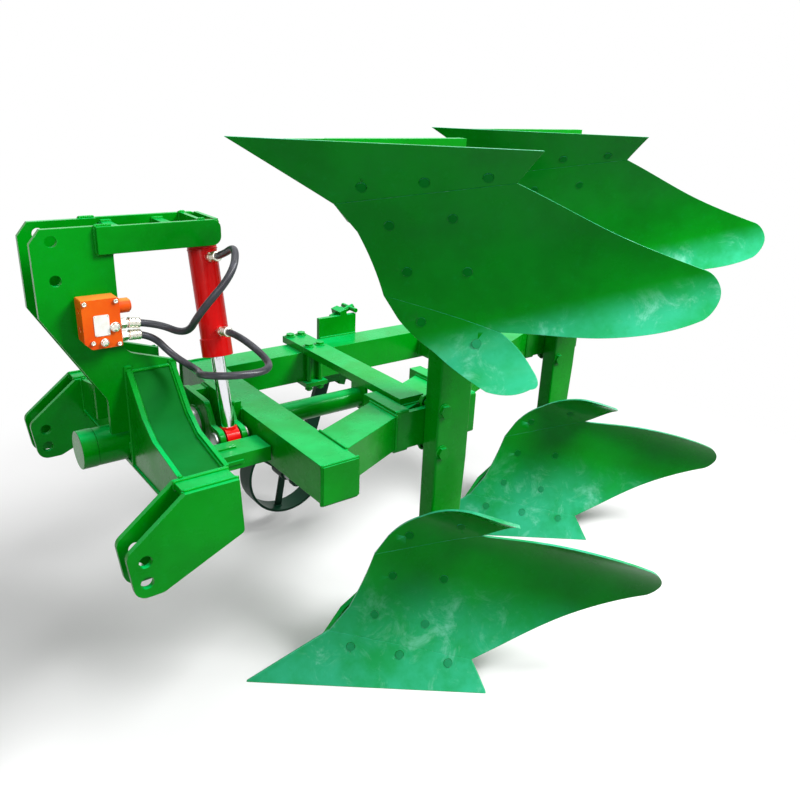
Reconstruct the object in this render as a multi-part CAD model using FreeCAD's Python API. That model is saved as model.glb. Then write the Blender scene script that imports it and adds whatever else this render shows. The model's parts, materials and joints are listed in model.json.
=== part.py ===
import FreeCAD, Part
import os
from math import asin, atan2, cos, degrees, pi, radians, sin, sqrt, tan

V = FreeCAD.Vector

# Axes: x runs rearward from the hub, y to the far side, z up, in millimetres
# The turnover axis is the line y = 0 at axis_height

# Overall sizes
axis_height = 750.0
overrun = 40.0
run_clearance = 0.05
fit_gap = 0.3
hole_clearance = 0.2

# Turnover shaft, its bearing and hub
shaft_radius = 35.0
shaft_front_x = -20.0
bush_wall = 5.0
bush_length = 60.0
bearing_radius = 48.0
bearing_front_x = 8.0
bearing_rear_x = 250.0
hub_radius = 49.0
hub_cap_wall = 10.0

# Mast plates and the arm that carries the turnover cylinder
mast_inner_y = 46.0
mast_thickness = 14.0
mast_front_x = -90.0
mast_rear_x = 84.0
mast_foot_x = 38.0
mast_top_rise = 552.0
mast_top_z = axis_height + mast_top_rise
mast_chamfer_run = 24.0
mast_chamfer_drop = 30.0
mast_nose_rise = 358.0
mast_nose_z = axis_height + mast_nose_rise
mast_waist_rise = 140.0
mast_waist_z = axis_height + mast_waist_rise
mast_step_rise = 50.0
mast_step_z = axis_height + mast_step_rise
mast_rear_bend_rise = 255.0
mast_rear_bend_z = axis_height + mast_rear_bend_rise
mast_bend_radius = 40.0
top_link_radius = 12.7
top_link_x = -46.0
top_link_drop = 27.0
top_link_z = mast_top_z - top_link_drop
top_link_pitch = 86.0
arm_front_x = 48.0
arm_rear_x = 342.0
arm_height = 62.0
arm_bottom_z = mast_top_z - arm_height
arm_thickness = 12.0
arm_end_radius = 22.0
arm_corner_radius = 4.0
spacer_depth = 24.0
spacer_height = 40.0
spacer_front_x = 96.0
spacer_rear_x = 222.0

# Wing plates, covers and the lower cross plate of the headstock
wing_front_x = 85.0
wing_rear_x = 207.0
wing_thickness = 12.0
wing_bottom_drop = 48.0
wing_bottom_z = axis_height - wing_bottom_drop
wing_shoulder_rise = 215.0
wing_shoulder_z = axis_height + wing_shoulder_rise
wing_knee_y = 150.0
wing_knee_rise = 114.0
wing_knee_z = axis_height + wing_knee_rise
wing_toe_y = 208.0
wing_toe_rise = 78.0
wing_toe_z = axis_height + wing_toe_rise
wing_tip_rise = 50.0
wing_tip_z = axis_height + wing_tip_rise
cover_drop = 12.0
cover_thickness = 12.0
lower_plate_thickness = 12.0

# Lower hitch plates
hitch_inner_y = 356.0
hitch_plate_thickness = 14.0
hitch_gap = 50.0
hitch_front_x = -66.0
hitch_top_front_x = 70.0
hitch_top_rear_x = 195.0
hitch_rear_x = 203.0
hitch_top_rise = 50.0
hitch_top_z = axis_height + hitch_top_rise
hitch_rear_drop = 85.0
hitch_rear_z = axis_height - hitch_rear_drop
hitch_front_drop = 60.0
hitch_front_z = axis_height - hitch_front_drop
hitch_nose_drop = 172.0
hitch_nose_z = axis_height - hitch_nose_drop
hitch_nose_x = -22.0
hitch_nose_radius = 30.0
hitch_corner_radius = 25.0
lower_link_radius = 14.4
lower_link_x = -26.0
lower_link_drop = 83.0
lower_link_z = axis_height - lower_link_drop
lower_link_pitch = 52.0
hitch_spacer_height = 16.0

# Turnover crank and cylinder
cylinder_x = 316.0
crank_radius = 125.0
crank_pin_radius = 15.0
crank_pin_head_radius = 22.0
crank_pin_head = 8.0
crank_gap = 44.0
crank_eye_radius = 30.0
crank_plate_thickness = 16.0
crank_body_half = 85.0
crank_far_y = 92.0
crank_web_y = 52.0
crank_boss_half = 70.0
crank_corner_radius = 20.0
crank_shoulder_y = -60.0
arm_pin_drop = 32.0
arm_pin_z = mast_top_z - arm_pin_drop
arm_pin_radius = 12.5
arm_pin_head_radius = 19.0
arm_pin_head = 7.0
arm_pin_tail = 10.0
carrier_thickness = 11.0
carrier_height = 50.0
barrel_radius = 36.0
barrel_wall = 6.5
barrel_start = 34.0
barrel_cap = 14.0
barrel_length = 300.0
barrel_eye_radius = 22.0
barrel_eye_width = 26.0
gland_radius = 39.0
gland_height = 46.0
gland_reach = 18.0
rod_radius = 17.5
rod_eye_width = 36.0
piston_height = 26.0
port_radius = 11.0
port_bore_radius = 6.5
port_length = 24.0
top_port_along = 72.0
gland_port_gap = 6.0

# Stops that end the turnover at each side
stop_y = 130.0
stop_screw_radius = 10.0
stop_nut_radius = 15.0
stop_nut_height = 14.0
stop_bracket_drop = 74.0
stop_bracket_top = axis_height - stop_bracket_drop
stop_bracket_thickness = 16.0
stop_bracket_half = 22.0
stop_screw_tail = 34.0
stop_arm_inner_y = 165.0
stop_arm_outer_y = 245.0
stop_arm_rise = 10.0
stop_arm_height = 40.0
stop_arm_gap = 6.0
stop_rib_length = 88.0
stop_rib_width = 9.0
stop_rib_height = 5.0

# Beams of the rotating frame
beam_height = 100.0
beam_wall = 8.0
beam_cap = 6.0
cross_beam_x = 378.0
cross_beam_width = 100.0
cross_beam_near_y = -480.0
far_beam_y = 245.0
far_beam_width = 100.0
far_beam_rear_x = 1350.0
main_beam_width = 112.0
main_beam_near_y = -473.0
main_beam_rear_x = 1900.0
tie_width = 80.0
tie_height = 80.0
tie_front_x = 1240.0
centre_tube_radius = 30.0
centre_tube_wall = 5.0
centre_tube_y = -62.0
centre_tube_rear_x = 760.0
hanger_thickness = 12.0
hanger_half = 36.0
cross_bar_x = 748.0
cross_bar_width = 82.0
cross_bar_thickness = 22.0
cross_bar_near_y = -284.0
cross_bar_overhang = 27.0
clamp_bolt_radius = 8.0
clamp_bolt_inset = 20.0
clamp_bolt_gap = 2.5
clamp_plate_thickness = 14.0

# Offset from the front pair of plough bodies to the rear pair
body_pitch_x = 895.0
body_pitch_y = 385.0

# Standards and their brackets
standard_front_x = 795.0
standard_width = 115.0
standard_thickness = 60.0
standard_near_y = -395.0
standard_foot_z = 120.0
standard_taper = 20.0
standard_edge_radius = 6.0
bracket_flange = 16.0
bracket_strap = 42.0
bracket_wall = 12.0
bracket_front_x = 700.0
bracket_rear_x = 985.0
bracket_edge_radius = 9.0
bracket_far_overhang = 14.0
standard_bolt_radius = 10.0
standard_bolt_inset = 20.0
standard_bolt_rise = 62.0

# Plough body: its share edge starts at the point, and the working face is hollow
point_x = 300.0
point_y = -195.0
share_angle = 38.2
face_depth = 135.0
face_thickness = 9.0
face_dip = 3.0
face_crown = 80.0
face_overrun = 60.0
face_sections = 5
body_length = 1190.0
body_height = 576.0
face_waist_front_share = 0.9896
face_waist_tail_share = 0.3993
crown_radius_share = 0.3646
crown_radius = crown_radius_share * body_height
trash_thickness = 8.0
frog_thickness = 15.0
landside_y = -250.0
landside_front_x = 520.0
landside_rear_x = 930.0
landside_height = 112.0
landside_thickness = 12.0
landside_nose = 60.0
web_thickness = 16.0
web_height = 190.0
web_nose = 110.0
socket_height = 120.0
socket_wall = 14.0
plough_bolt_radius = 6.5
plough_bolt_head = 12.0
plough_bolt_proud = 1.5
plough_nut_radius = 11.0
plough_nut_height = 10.0

# Outline points of the face as shares of the body's length and height
share_tip_share = (0.000, 0.000)
share_edge_end_share = (0.5850, 0.000)
share_heel_share = (0.5470, 0.1320)
share_shin_share = (0.1960, 0.2480)
shin_low_share = (0.2420, 0.3620)
shin_mid_share = (0.2715, 0.4900)
shin_high_share = (0.2980, 0.6420)
shin_top_share = (0.3294, 0.7431)
crown_front_share = (0.3613, 0.8125)
crown_low_share = (0.4092, 0.8819)
crown_mid_share = (0.4647, 0.9549)
crown_top_share = (0.5210, 1.0000)
brow_share = (0.5714, 0.9913)
finger_high_share = (0.6092, 0.9653)
finger_tip_share = (0.6252, 0.9462)
finger_low_share = (0.6176, 0.9115)
finger_under_share = (0.5765, 0.8212)
notch_share = (0.5479, 0.7813)
seam_share = (0.4538, 0.7257)
top_front_share = (0.6176, 0.7778)
top_mid_share = (0.7227, 0.7743)
top_rear_share = (0.8277, 0.7465)
top_low_share = (0.9118, 0.7014)
top_tail_share = (0.9580, 0.6632)
tail_high_share = (0.9832, 0.6146)
tail_tip_share = (0.9941, 0.5521)
tail_under_share = (0.9849, 0.5035)
tail_low_share = (0.9580, 0.4670)
keel_rear_share = (0.8697, 0.4097)
keel_mid_share = (0.7630, 0.3299)
keel_front_share = (0.6513, 0.2274)
share_bolt_shares = ((0.2500, 0.1750), (0.3700, 0.1450), (0.4900, 0.1150))
board_bolt_shares = ((0.3050, 0.3300), (0.4300, 0.2900), (0.3450, 0.5300), (0.4700, 0.5200))
trash_bolt_shares = ((0.3800, 0.7550), (0.5000, 0.8350))
frog_outline_shares = ((0.1200, 0.0700), (0.5200, 0.0450), (0.5500, 0.3600), (0.5200, 0.6000),
                       (0.3200, 0.6000), (0.2650, 0.4200), (0.2100, 0.2500))

# Gauge wheel and its swinging arm
wheel_pivot_x = 950.0
wheel_centre_x = 802.0
wheel_centre_z = 258.0
wheel_radius = 160.0
wheel_width = 80.0
wheel_centre_y = 482.0
rim_thickness = 9.0
wheel_arm_width = 50.0
wheel_arm_thickness = 20.0
wheel_boss_radius = 32.0
wheel_boss_length = 44.0
wheel_pin_radius = 15.0
wheel_pin_head = 8.0
wheel_hub_radius = 30.0
wheel_hub_length = 76.0
axle_radius = 14.0
axle_collar_radius = 22.0
axle_collar = 8.0
spoke_count = 3
spoke_width = 26.0
spoke_thickness = 10.0
spoke_turn = 100.0
bracket_plate_length = 150.0
bracket_plate_height = 240.0
bracket_plate_thickness = 16.0
wheel_stop_reach = 105.0
wheel_stop_radius = 9.0
wheel_stop_length = 98.0
wheel_lug_depth = 26.0
wheel_lug_half = 20.0
wheel_lug_start = 46.0
wheel_handle_radius = 8.0
wheel_handle_half = 42.0

# Valve on the near mast plate
valve_front_x = -12.0
valve_length = 84.0
valve_bottom_rise = 286.0
valve_bottom_z = axis_height + valve_bottom_rise
valve_height = 114.0
valve_depth = 46.0
valve_bulge_radius = 17.0
valve_bulge_length = 26.0
valve_bulge_rise = 88.0
fitting_radius = 10.0
fitting_length = 22.0
fitting_hex_radius = 13.0
supply_rise = 88.0
hose_fitting_rises = (16.0, 46.0)

# Hoses: route points between the valve's fittings and the cylinder's ports
hose_radius = 8.5
arc_share = 0.45
upper_hose_start_run = 66.0
upper_hose_end_run = 51.0
upper_hose_route = [(217.0, -143.0, 1082.0), (207.0, -257.0, 1153.0), (272.0, -276.0, 1222.0),
                    (313.0, -207.0, 1266.0)]
lower_hose_start_run = 50.0
lower_hose_end_run = 63.0
lower_hose_route = [(200.0, -97.0, 1013.0), (221.0, -169.0, 959.0), (172.0, -285.0, 988.0),
                    (220.0, -351.0, 1016.0), (310.0, -354.0, 1006.0), (357.0, -278.0, 1002.0)]


def box(x0, x1, y0, y1, z0, z1):
    return Part.makeBox(x1 - x0, y1 - y0, z1 - z0, V(x0, y0, z0))


def rod(start, direction, radius, length):
    return Part.makeCylinder(radius, length, start, direction)


def pipe(start, direction, outer, inner, length):
    return rod(start, direction, outer, length).cut(rod(start, direction, inner, length))


def hexagon(start, direction, radius, length):
    # A hexagonal head or nut, given by the radius of its corners
    side = V(direction).cross(V(0, 0, 1))
    if side.Length < 0.5:
        side = V(1, 0, 0)
    side.normalize()
    up = V(direction).cross(side).normalize()
    corners = [start + side * (radius * cos(k * pi / 3)) + up * (radius * sin(k * pi / 3)) for k in range(6)]
    face = Part.Face(Part.makePolygon(corners + [corners[0]]))
    return face.extrude(V(direction).normalize() * length)


def closed_wire(points):
    # Closed outline of 3-D points; a point may be a pair of place and corner radius
    places = [p[0] if isinstance(p, tuple) else p for p in points]
    radii = [p[1] if isinstance(p, tuple) else 0 for p in points]
    edges, first, last = [], None, None
    count = len(places)
    for k in range(count):
        here, before, after = places[k], places[k - 1], places[(k + 1) % count]
        if radii[k]:
            back, ahead = (before - here).normalize(), (after - here).normalize()
            half = back.getAngle(ahead) / 2
            reach = radii[k] / tan(half)
            enter, leave = here + back * reach, here + ahead * reach
            middle = here + (back + ahead).normalize() * (radii[k] / sin(half) - radii[k])
            arc = Part.Arc(enter, middle, leave).toShape()
        else:
            enter, leave, arc = here, here, None
        if last is not None:
            edges.append(Part.LineSegment(last, enter).toShape())
        else:
            first = enter
        if arc:
            edges.append(arc)
        last = leave
    edges.append(Part.LineSegment(last, first).toShape())
    return Part.Wire(edges)


def plate_xz(points, y0, thickness):
    # A plate across y from an outline of (x, z) or (x, z, corner radius)
    wire = closed_wire([(V(p[0], y0, p[1]), p[2] if len(p) > 2 else 0) for p in points])
    return Part.Face(wire).extrude(V(0, thickness, 0))


def plate_yz(points, x0, thickness):
    wire = closed_wire([(V(x0, p[0], p[1]), p[2] if len(p) > 2 else 0) for p in points])
    return Part.Face(wire).extrude(V(thickness, 0, 0))


def other_side(shape):
    return shape.mirror(V(0, 0, 0), V(0, 1, 0))


def upside_down(shape):
    return shape.mirror(V(0, 0, axis_height), V(0, 0, 1))


def both_sides(shape):
    return Part.makeCompound([shape, other_side(shape)])


def single(shape):
    # The one solid of a boolean's result, without its compound wrapper
    solids = sorted(shape.Solids, key=lambda s: -s.Volume)
    return solids[0]


# Headstock

def mast_outline():
    return [(mast_front_x, mast_nose_z),
            (mast_front_x, mast_top_z - mast_chamfer_drop),
            (mast_front_x + mast_chamfer_run, mast_top_z),
            (mast_rear_x, mast_top_z),
            (mast_rear_x, mast_rear_bend_z, mast_bend_radius),
            (wing_rear_x, wing_shoulder_z),
            (wing_rear_x, wing_bottom_z),
            (wing_front_x, wing_bottom_z),
            (wing_front_x, mast_step_z),
            (mast_foot_x, mast_step_z),
            (mast_foot_x, mast_waist_z)]


def top_link_holes():
    reach = mast_inner_y + mast_thickness + overrun
    return [rod(V(top_link_x, -reach, top_link_z - k * top_link_pitch), V(0, 1, 0), top_link_radius, 2 * reach)
            for k in range(2)]


def mast_plates():
    plate = plate_xz(mast_outline(), mast_inner_y, mast_thickness)
    tube_space = rod(V(mast_foot_x - overrun, 0, axis_height), V(1, 0, 0), bearing_radius,
                     wing_rear_x - mast_foot_x + 2 * overrun)
    return both_sides(plate.cut(top_link_holes() + [tube_space]))


def arm_plates():
    y0 = mast_inner_y + mast_thickness
    top = arm_bottom_z + arm_height
    plate = plate_xz([(arm_front_x, arm_bottom_z, arm_corner_radius), (arm_front_x, top, arm_corner_radius),
                      (arm_rear_x, top, arm_end_radius), (arm_rear_x, arm_bottom_z, arm_end_radius)],
                     y0, arm_thickness)
    return both_sides(plate)


def carrier_start():
    # Distance from the cylinder's plane to the near face of each cross plate that carries its pin
    return barrel_eye_width / 2 + fit_gap


def arm_spacers():
    # Two spacer bars and the two cross plates that carry the cylinder's upper pin
    middle = arm_bottom_z + arm_height / 2
    half = mast_inner_y + mast_thickness
    bars = [box(x, x + spacer_depth, -half, half, middle - spacer_height / 2, middle + spacer_height / 2)
            for x in (spacer_front_x, spacer_rear_x)]
    top = arm_bottom_z + arm_height
    for x in (cylinder_x - carrier_start() - carrier_thickness, cylinder_x + carrier_start()):
        plate = box(x, x + carrier_thickness, -half, half, top - carrier_height, top)
        bars.append(single(plate.cut(rod(V(x - overrun, 0, arm_pin_z), V(1, 0, 0), arm_pin_radius,
                                         carrier_thickness + 2 * overrun))))
    return Part.makeCompound(bars)


def wing_profile(drop):
    # Upper edge of a wing from the mast down to the hitch plate, as (y, z)
    return [(mast_inner_y + mast_thickness, wing_shoulder_z - drop), (wing_knee_y, wing_knee_z - drop),
            (wing_toe_y, wing_toe_z - drop), (hitch_inner_y, wing_tip_z - drop)]


def wing_plates():
    outline = wing_profile(0) + [(hitch_inner_y, wing_bottom_z), (mast_inner_y + mast_thickness, wing_bottom_z)]
    front = plate_yz(outline, wing_front_x, wing_thickness)
    rear = plate_yz(outline, wing_rear_x - wing_thickness, wing_thickness)
    return Part.makeCompound([front, rear, other_side(front), other_side(rear)])


def side_covers():
    outline = wing_profile(cover_drop) + wing_profile(cover_drop + cover_thickness)[::-1]
    length = wing_rear_x - wing_front_x - 2 * wing_thickness
    return both_sides(plate_yz(outline, wing_front_x + wing_thickness, length))


def lower_cross_plate():
    return box(wing_front_x, wing_rear_x, -hitch_inner_y, hitch_inner_y,
               wing_bottom_z - lower_plate_thickness, wing_bottom_z)


def hitch_outline():
    return [(hitch_top_front_x, hitch_top_z), (hitch_top_rear_x, hitch_top_z),
            (hitch_rear_x, hitch_rear_z, hitch_corner_radius / 2),
            (hitch_nose_x + hitch_nose_radius, hitch_nose_z, hitch_corner_radius),
            (hitch_nose_x - hitch_nose_radius, hitch_nose_z, hitch_nose_radius),
            (hitch_front_x, hitch_front_z, hitch_corner_radius)]


def hitch_plate(y0):
    holes = [rod(V(lower_link_x, y0 - overrun, lower_link_z - k * lower_link_pitch), V(0, 1, 0),
                 lower_link_radius, hitch_plate_thickness + 2 * overrun) for k in range(2)]
    return both_sides(plate_xz(hitch_outline(), y0, hitch_plate_thickness).cut(holes))


def hitch_outer_y():
    return hitch_inner_y + hitch_plate_thickness + hitch_gap


def hitch_spacers():
    y0 = hitch_inner_y + hitch_plate_thickness
    y1 = y0 + hitch_gap
    top = box(hitch_top_front_x, hitch_top_rear_x, y0, y1, hitch_top_z - hitch_spacer_height, hitch_top_z)
    rear = box(hitch_top_rear_x - hitch_spacer_height, hitch_top_rear_x, y0, y1, hitch_rear_z, hitch_top_z)
    return both_sides(single(top.fuse(rear).removeSplitter()))


def bearing_tube():
    return pipe(V(bearing_front_x, 0, axis_height), V(1, 0, 0), bearing_radius,
                shaft_radius + bush_wall, bearing_rear_x - bearing_front_x)


def bearing_bushes():
    inner = shaft_radius + run_clearance
    return Part.makeCompound([pipe(V(x, 0, axis_height), V(1, 0, 0), shaft_radius + bush_wall, inner, bush_length)
                              for x in (bearing_front_x, bearing_rear_x - bush_length)])


def arm_pin():
    reach = carrier_start() + carrier_thickness
    pin = rod(V(cylinder_x - reach - arm_pin_head, 0, arm_pin_z), V(1, 0, 0), arm_pin_radius,
              2 * reach + arm_pin_head + arm_pin_tail)
    head = rod(V(cylinder_x - reach - arm_pin_head, 0, arm_pin_z), V(1, 0, 0), arm_pin_head_radius, arm_pin_head)
    return single(pin.fuse(head).removeSplitter())


def crank_front_x():
    return cylinder_x - crank_gap / 2 - crank_plate_thickness


def stop_brackets():
    x1 = crank_front_x() + crank_plate_thickness
    shelf = box(wing_rear_x, x1, stop_y - stop_bracket_half, stop_y + stop_bracket_half,
                stop_bracket_top - stop_bracket_thickness, stop_bracket_top)
    back = box(wing_rear_x, wing_rear_x + stop_bracket_thickness, stop_y - stop_bracket_half,
               stop_y + stop_bracket_half, stop_bracket_top, wing_knee_z - 2 * stop_bracket_half)
    bracket = single(shelf.fuse(back).removeSplitter()).cut(stop_screw_shank())
    return Part.makeCompound(both_sides(bracket).Solids + both_sides(stop_arm()).Solids)


def stop_arm():
    # Ribbed bar that reaches from the wing almost to the cross beam
    top = axis_height + stop_arm_rise
    bottom = top - stop_arm_height
    middle_y = (stop_arm_inner_y + stop_arm_outer_y) / 2
    middle_z = (top + bottom) / 2
    rib_x = wing_rear_x + stop_rib_length
    bar = box(wing_rear_x, cross_beam_x - stop_arm_gap, stop_arm_inner_y, stop_arm_outer_y, bottom, top)
    upper = box(wing_rear_x, rib_x, middle_y - stop_rib_width / 2, middle_y + stop_rib_width / 2,
                top, top + stop_rib_height)
    outer = box(wing_rear_x, rib_x, stop_arm_outer_y, stop_arm_outer_y + stop_rib_height,
                middle_z - stop_rib_width / 2, middle_z + stop_rib_width / 2)
    return single(bar.fuse([upper, outer]).removeSplitter())


def stop_screw_x():
    return crank_front_x() + crank_plate_thickness / 2


def stop_screw_shank():
    bottom = stop_bracket_top - stop_bracket_thickness - stop_screw_tail
    top = axis_height - crank_eye_radius - fit_gap
    return rod(V(stop_screw_x(), stop_y, bottom), V(0, 0, 1), stop_screw_radius, top - bottom)


def stop_screws():
    nut = hexagon(V(stop_screw_x(), stop_y, stop_bracket_top), V(0, 0, 1), stop_nut_radius, stop_nut_height)
    return both_sides(single(stop_screw_shank().fuse(nut).removeSplitter()))


def valve_block():
    y1 = -(mast_inner_y + mast_thickness)
    y0 = y1 - valve_depth
    top = valve_bottom_z + valve_height
    chamfer = valve_depth / 3
    body = plate_xz([(valve_front_x, valve_bottom_z + chamfer, arm_corner_radius),
                     (valve_front_x, top, arm_corner_radius),
                     (valve_front_x + valve_length, top, arm_corner_radius),
                     (valve_front_x + valve_length, valve_bottom_z, arm_corner_radius),
                     (valve_front_x + chamfer, valve_bottom_z, arm_corner_radius)], y0, valve_depth)
    bulge = rod(V(valve_front_x + valve_length, (y0 + y1) / 2, valve_bottom_z + valve_bulge_rise), V(1, 0, 0),
                valve_bulge_radius, valve_bulge_length)
    block = single(body.fuse(bulge).removeSplitter())
    ports = [rod(V(valve_front_x, supply_y(), z), V(1, 0, 0), port_bore_radius, fitting_length)
             for z in supply_heights()]
    return block.cut(ports)


def supply_y():
    return -(mast_inner_y + mast_thickness) - valve_depth / 2


def supply_heights():
    return (valve_bottom_z + supply_rise, valve_bottom_z + supply_rise - 2 * fitting_length)


def valve_fitting_starts():
    # Places on the rear face of the valve where the two hoses leave it
    return [V(valve_front_x + valve_length, supply_y(), valve_bottom_z + rise) for rise in hose_fitting_rises]


def valve_fittings():
    shapes = []
    for start in valve_fitting_starts():
        stub = rod(start, V(1, 0, 0), fitting_radius, fitting_length)
        nut = hexagon(start + V(fitting_length / 4, 0, 0), V(1, 0, 0), fitting_hex_radius, fitting_length / 2)
        shapes.append(single(stub.fuse(nut).removeSplitter()))
    return Part.makeCompound(shapes)


# Rotating head

def turnover_shaft():
    return rod(V(shaft_front_x, 0, axis_height), V(1, 0, 0), shaft_radius,
               crank_front_x() + crank_plate_thickness - shaft_front_x)


def hub_cap():
    # A cup over the shaft's front end, with its four bolts' holes
    front = shaft_front_x - hub_cap_wall
    cup = rod(V(front, 0, axis_height), V(1, 0, 0), hub_radius, bearing_front_x - fit_gap - front)
    space = rod(V(shaft_front_x, 0, axis_height), V(1, 0, 0), shaft_radius,
                bearing_front_x - shaft_front_x + overrun)
    return single(cup.cut(space))


def thrust_ring():
    start = bearing_rear_x + fit_gap
    return pipe(V(start, 0, axis_height), V(1, 0, 0), hub_radius, shaft_radius, crank_front_x() - start)


def crank_outline():
    tip = -crank_radius - crank_eye_radius
    flat = -crank_radius + crank_eye_radius
    eye = crank_eye_radius
    half = crank_body_half
    return [(tip, axis_height - eye, eye - fit_gap), (tip, axis_height + eye, eye - fit_gap),
            (flat, axis_height + eye), (crank_shoulder_y, axis_height + half, crank_corner_radius),
            (crank_far_y, axis_height + half, crank_corner_radius),
            (crank_far_y, axis_height - half, crank_corner_radius),
            (crank_shoulder_y, axis_height - half, crank_corner_radius), (flat, axis_height - eye)]


def crank_pin_hole():
    return rod(V(crank_front_x() - overrun, -crank_radius, axis_height), V(1, 0, 0), crank_pin_radius,
               crank_gap + 2 * crank_plate_thickness + 2 * overrun)


def crank_plates():
    front = plate_yz(crank_outline(), crank_front_x(), crank_plate_thickness)
    front = front.cut([crank_pin_hole(), turnover_shaft()])
    rear = plate_yz(crank_outline(), cylinder_x + crank_gap / 2, crank_plate_thickness).cut(crank_pin_hole())
    return Part.makeCompound([front, rear])


def crank_blocks():
    # The web on the side that the rod never reaches, and the boss on the front cross beam
    half = crank_body_half - crank_corner_radius / 2
    web = box(cylinder_x - crank_gap / 2, cylinder_x + crank_gap / 2, crank_web_y, crank_far_y,
              axis_height - half, axis_height + half)
    boss = box(cylinder_x + crank_gap / 2 + crank_plate_thickness, cross_beam_x,
               -crank_boss_half, crank_boss_half, axis_height - crank_boss_half, axis_height + crank_boss_half)
    return Part.makeCompound([web, boss])


def crank_pin_ends():
    shapes = []
    for side in (-1, 1):
        start = V(cylinder_x + side * crank_gap / 2, -crank_radius, axis_height)
        stub = rod(start, V(side, 0, 0), crank_pin_radius, crank_plate_thickness)
        head = rod(start + V(side * crank_plate_thickness, 0, 0), V(side, 0, 0), crank_pin_head_radius,
                   crank_pin_head)
        shapes.append(single(stub.fuse(head).removeSplitter()))
    return Part.makeCompound(shapes)


# Frame beams

def beam_bottom():
    return axis_height - beam_height / 2


def beam_top():
    return axis_height + beam_height / 2


def hollow(outer, inner):
    return single(outer.cut(inner))


def cross_beam_rear():
    return cross_beam_x + cross_beam_width


def far_beam_far_y():
    return far_beam_y + far_beam_width


def front_cross_beam():
    inner = beam_wall
    return hollow(box(cross_beam_x, cross_beam_rear(), cross_beam_near_y, far_beam_far_y(),
                      beam_bottom(), beam_top()),
                  box(cross_beam_x + inner, cross_beam_rear() - inner, cross_beam_near_y - overrun,
                      far_beam_far_y() + overrun, beam_bottom() + inner, beam_top() - inner))


def far_beam():
    inner = beam_wall
    return hollow(box(cross_beam_rear(), far_beam_rear_x, far_beam_y, far_beam_far_y(),
                      beam_bottom(), beam_top()),
                  box(cross_beam_rear() - overrun, far_beam_rear_x + overrun, far_beam_y + inner,
                      far_beam_far_y() - inner, beam_bottom() + inner, beam_top() - inner))


def main_direction():
    return V(body_pitch_x, body_pitch_y, 0).normalize()


def main_normal():
    along = main_direction()
    return V(-along.y, along.x, 0)


def main_near_y(x):
    # Place of the main beam's near side at a given x
    along = main_direction()
    return main_beam_near_y + (x - cross_beam_x) * along.y / along.x


def main_far_y(x):
    return main_near_y(x) + main_beam_width / main_direction().x


def main_prism(inset, overshoot):
    # The main beam's box, shrunk by inset on all long sides and longer by overshoot
    along, across = main_direction(), main_normal()
    start = V(cross_beam_x, main_near_y(cross_beam_x), beam_bottom() + inset) + across * inset - along * overshoot
    length = (main_beam_rear_x - cross_beam_x) / along.x + 2 * overshoot
    width = main_beam_width - 2 * inset
    corners = [start, start + along * length, start + along * length + across * width, start + across * width]
    face = Part.Face(Part.makePolygon(corners + [corners[0]]))
    return face.extrude(V(0, 0, beam_height - 2 * inset))


def main_beam():
    behind = box(cross_beam_rear(), main_beam_rear_x + body_pitch_x, cross_beam_near_y - body_pitch_y,
                 body_pitch_x + body_pitch_y, beam_bottom() - overrun, beam_top() + overrun)
    return hollow(main_prism(0, 0).common(behind), main_prism(beam_wall, overrun))


def beam_end_caps():
    z0, z1 = beam_bottom(), beam_top()
    near = box(cross_beam_x, cross_beam_rear(), cross_beam_near_y - beam_cap, cross_beam_near_y, z0, z1)
    far = box(cross_beam_x, cross_beam_rear(), far_beam_far_y(), far_beam_far_y() + beam_cap, z0, z1)
    rear = box(far_beam_rear_x, far_beam_rear_x + beam_cap, far_beam_y, far_beam_far_y(), z0, z1)
    along, across = main_direction(), main_normal()
    end = V(cross_beam_x, main_near_y(cross_beam_x), z0) + along * ((main_beam_rear_x - cross_beam_x) / along.x)
    corners = [end, end + along * beam_cap, end + along * beam_cap + across * main_beam_width,
               end + across * main_beam_width]
    main = Part.Face(Part.makePolygon(corners + [corners[0]])).extrude(V(0, 0, beam_height))
    return Part.makeCompound([near, far, rear, main])


def rear_tie_tube():
    half = tie_height / 2
    outer = box(tie_front_x, tie_front_x + tie_width, main_near_y(tie_front_x) + main_beam_width / 2,
                far_beam_y, axis_height - half, axis_height + half)
    inner = box(tie_front_x + beam_wall, tie_front_x + tie_width - beam_wall,
                main_near_y(tie_front_x) - overrun, far_beam_y + overrun,
                axis_height - half + beam_wall, axis_height + half - beam_wall)
    return single(outer.cut([inner, main_prism(0, 0)]))


def centre_tube():
    start = cross_beam_rear()
    tube = pipe(V(start, centre_tube_y, axis_height), V(1, 0, 0), centre_tube_radius,
                centre_tube_radius - centre_tube_wall, centre_tube_rear_x - start)
    hanger = box(centre_tube_rear_x, centre_tube_rear_x + hanger_thickness, centre_tube_y - hanger_half,
                 centre_tube_y + hanger_half, axis_height - hanger_half, beam_top())
    return Part.makeCompound([tube, hanger])


def clamp_bolt_places():
    xs = (cross_bar_x + clamp_bolt_inset, cross_bar_x + cross_bar_width - clamp_bolt_inset)
    reach = clamp_bolt_radius + clamp_bolt_gap
    return [V(x, y, 0) for x in xs for y in (far_beam_y - reach, far_beam_far_y() + reach)]


def clamp_bolt_holes():
    return [rod(V(p.x, p.y, beam_bottom() - overrun), V(0, 0, 1), clamp_bolt_radius + hole_clearance,
                beam_height + 2 * overrun) for p in clamp_bolt_places()]


def rear_cross_bar():
    bar = box(cross_bar_x, cross_bar_x + cross_bar_width, cross_bar_near_y, far_beam_far_y() + cross_bar_overhang,
              beam_top(), beam_top() + cross_bar_thickness)
    return single(bar.cut(clamp_bolt_holes()))


def far_clamp_plate():
    plate = box(cross_bar_x, cross_bar_x + cross_bar_width, far_beam_y - cross_bar_overhang,
                far_beam_far_y() + cross_bar_overhang, beam_bottom() - clamp_plate_thickness, beam_bottom())
    return single(plate.cut(clamp_bolt_holes()))


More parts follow.
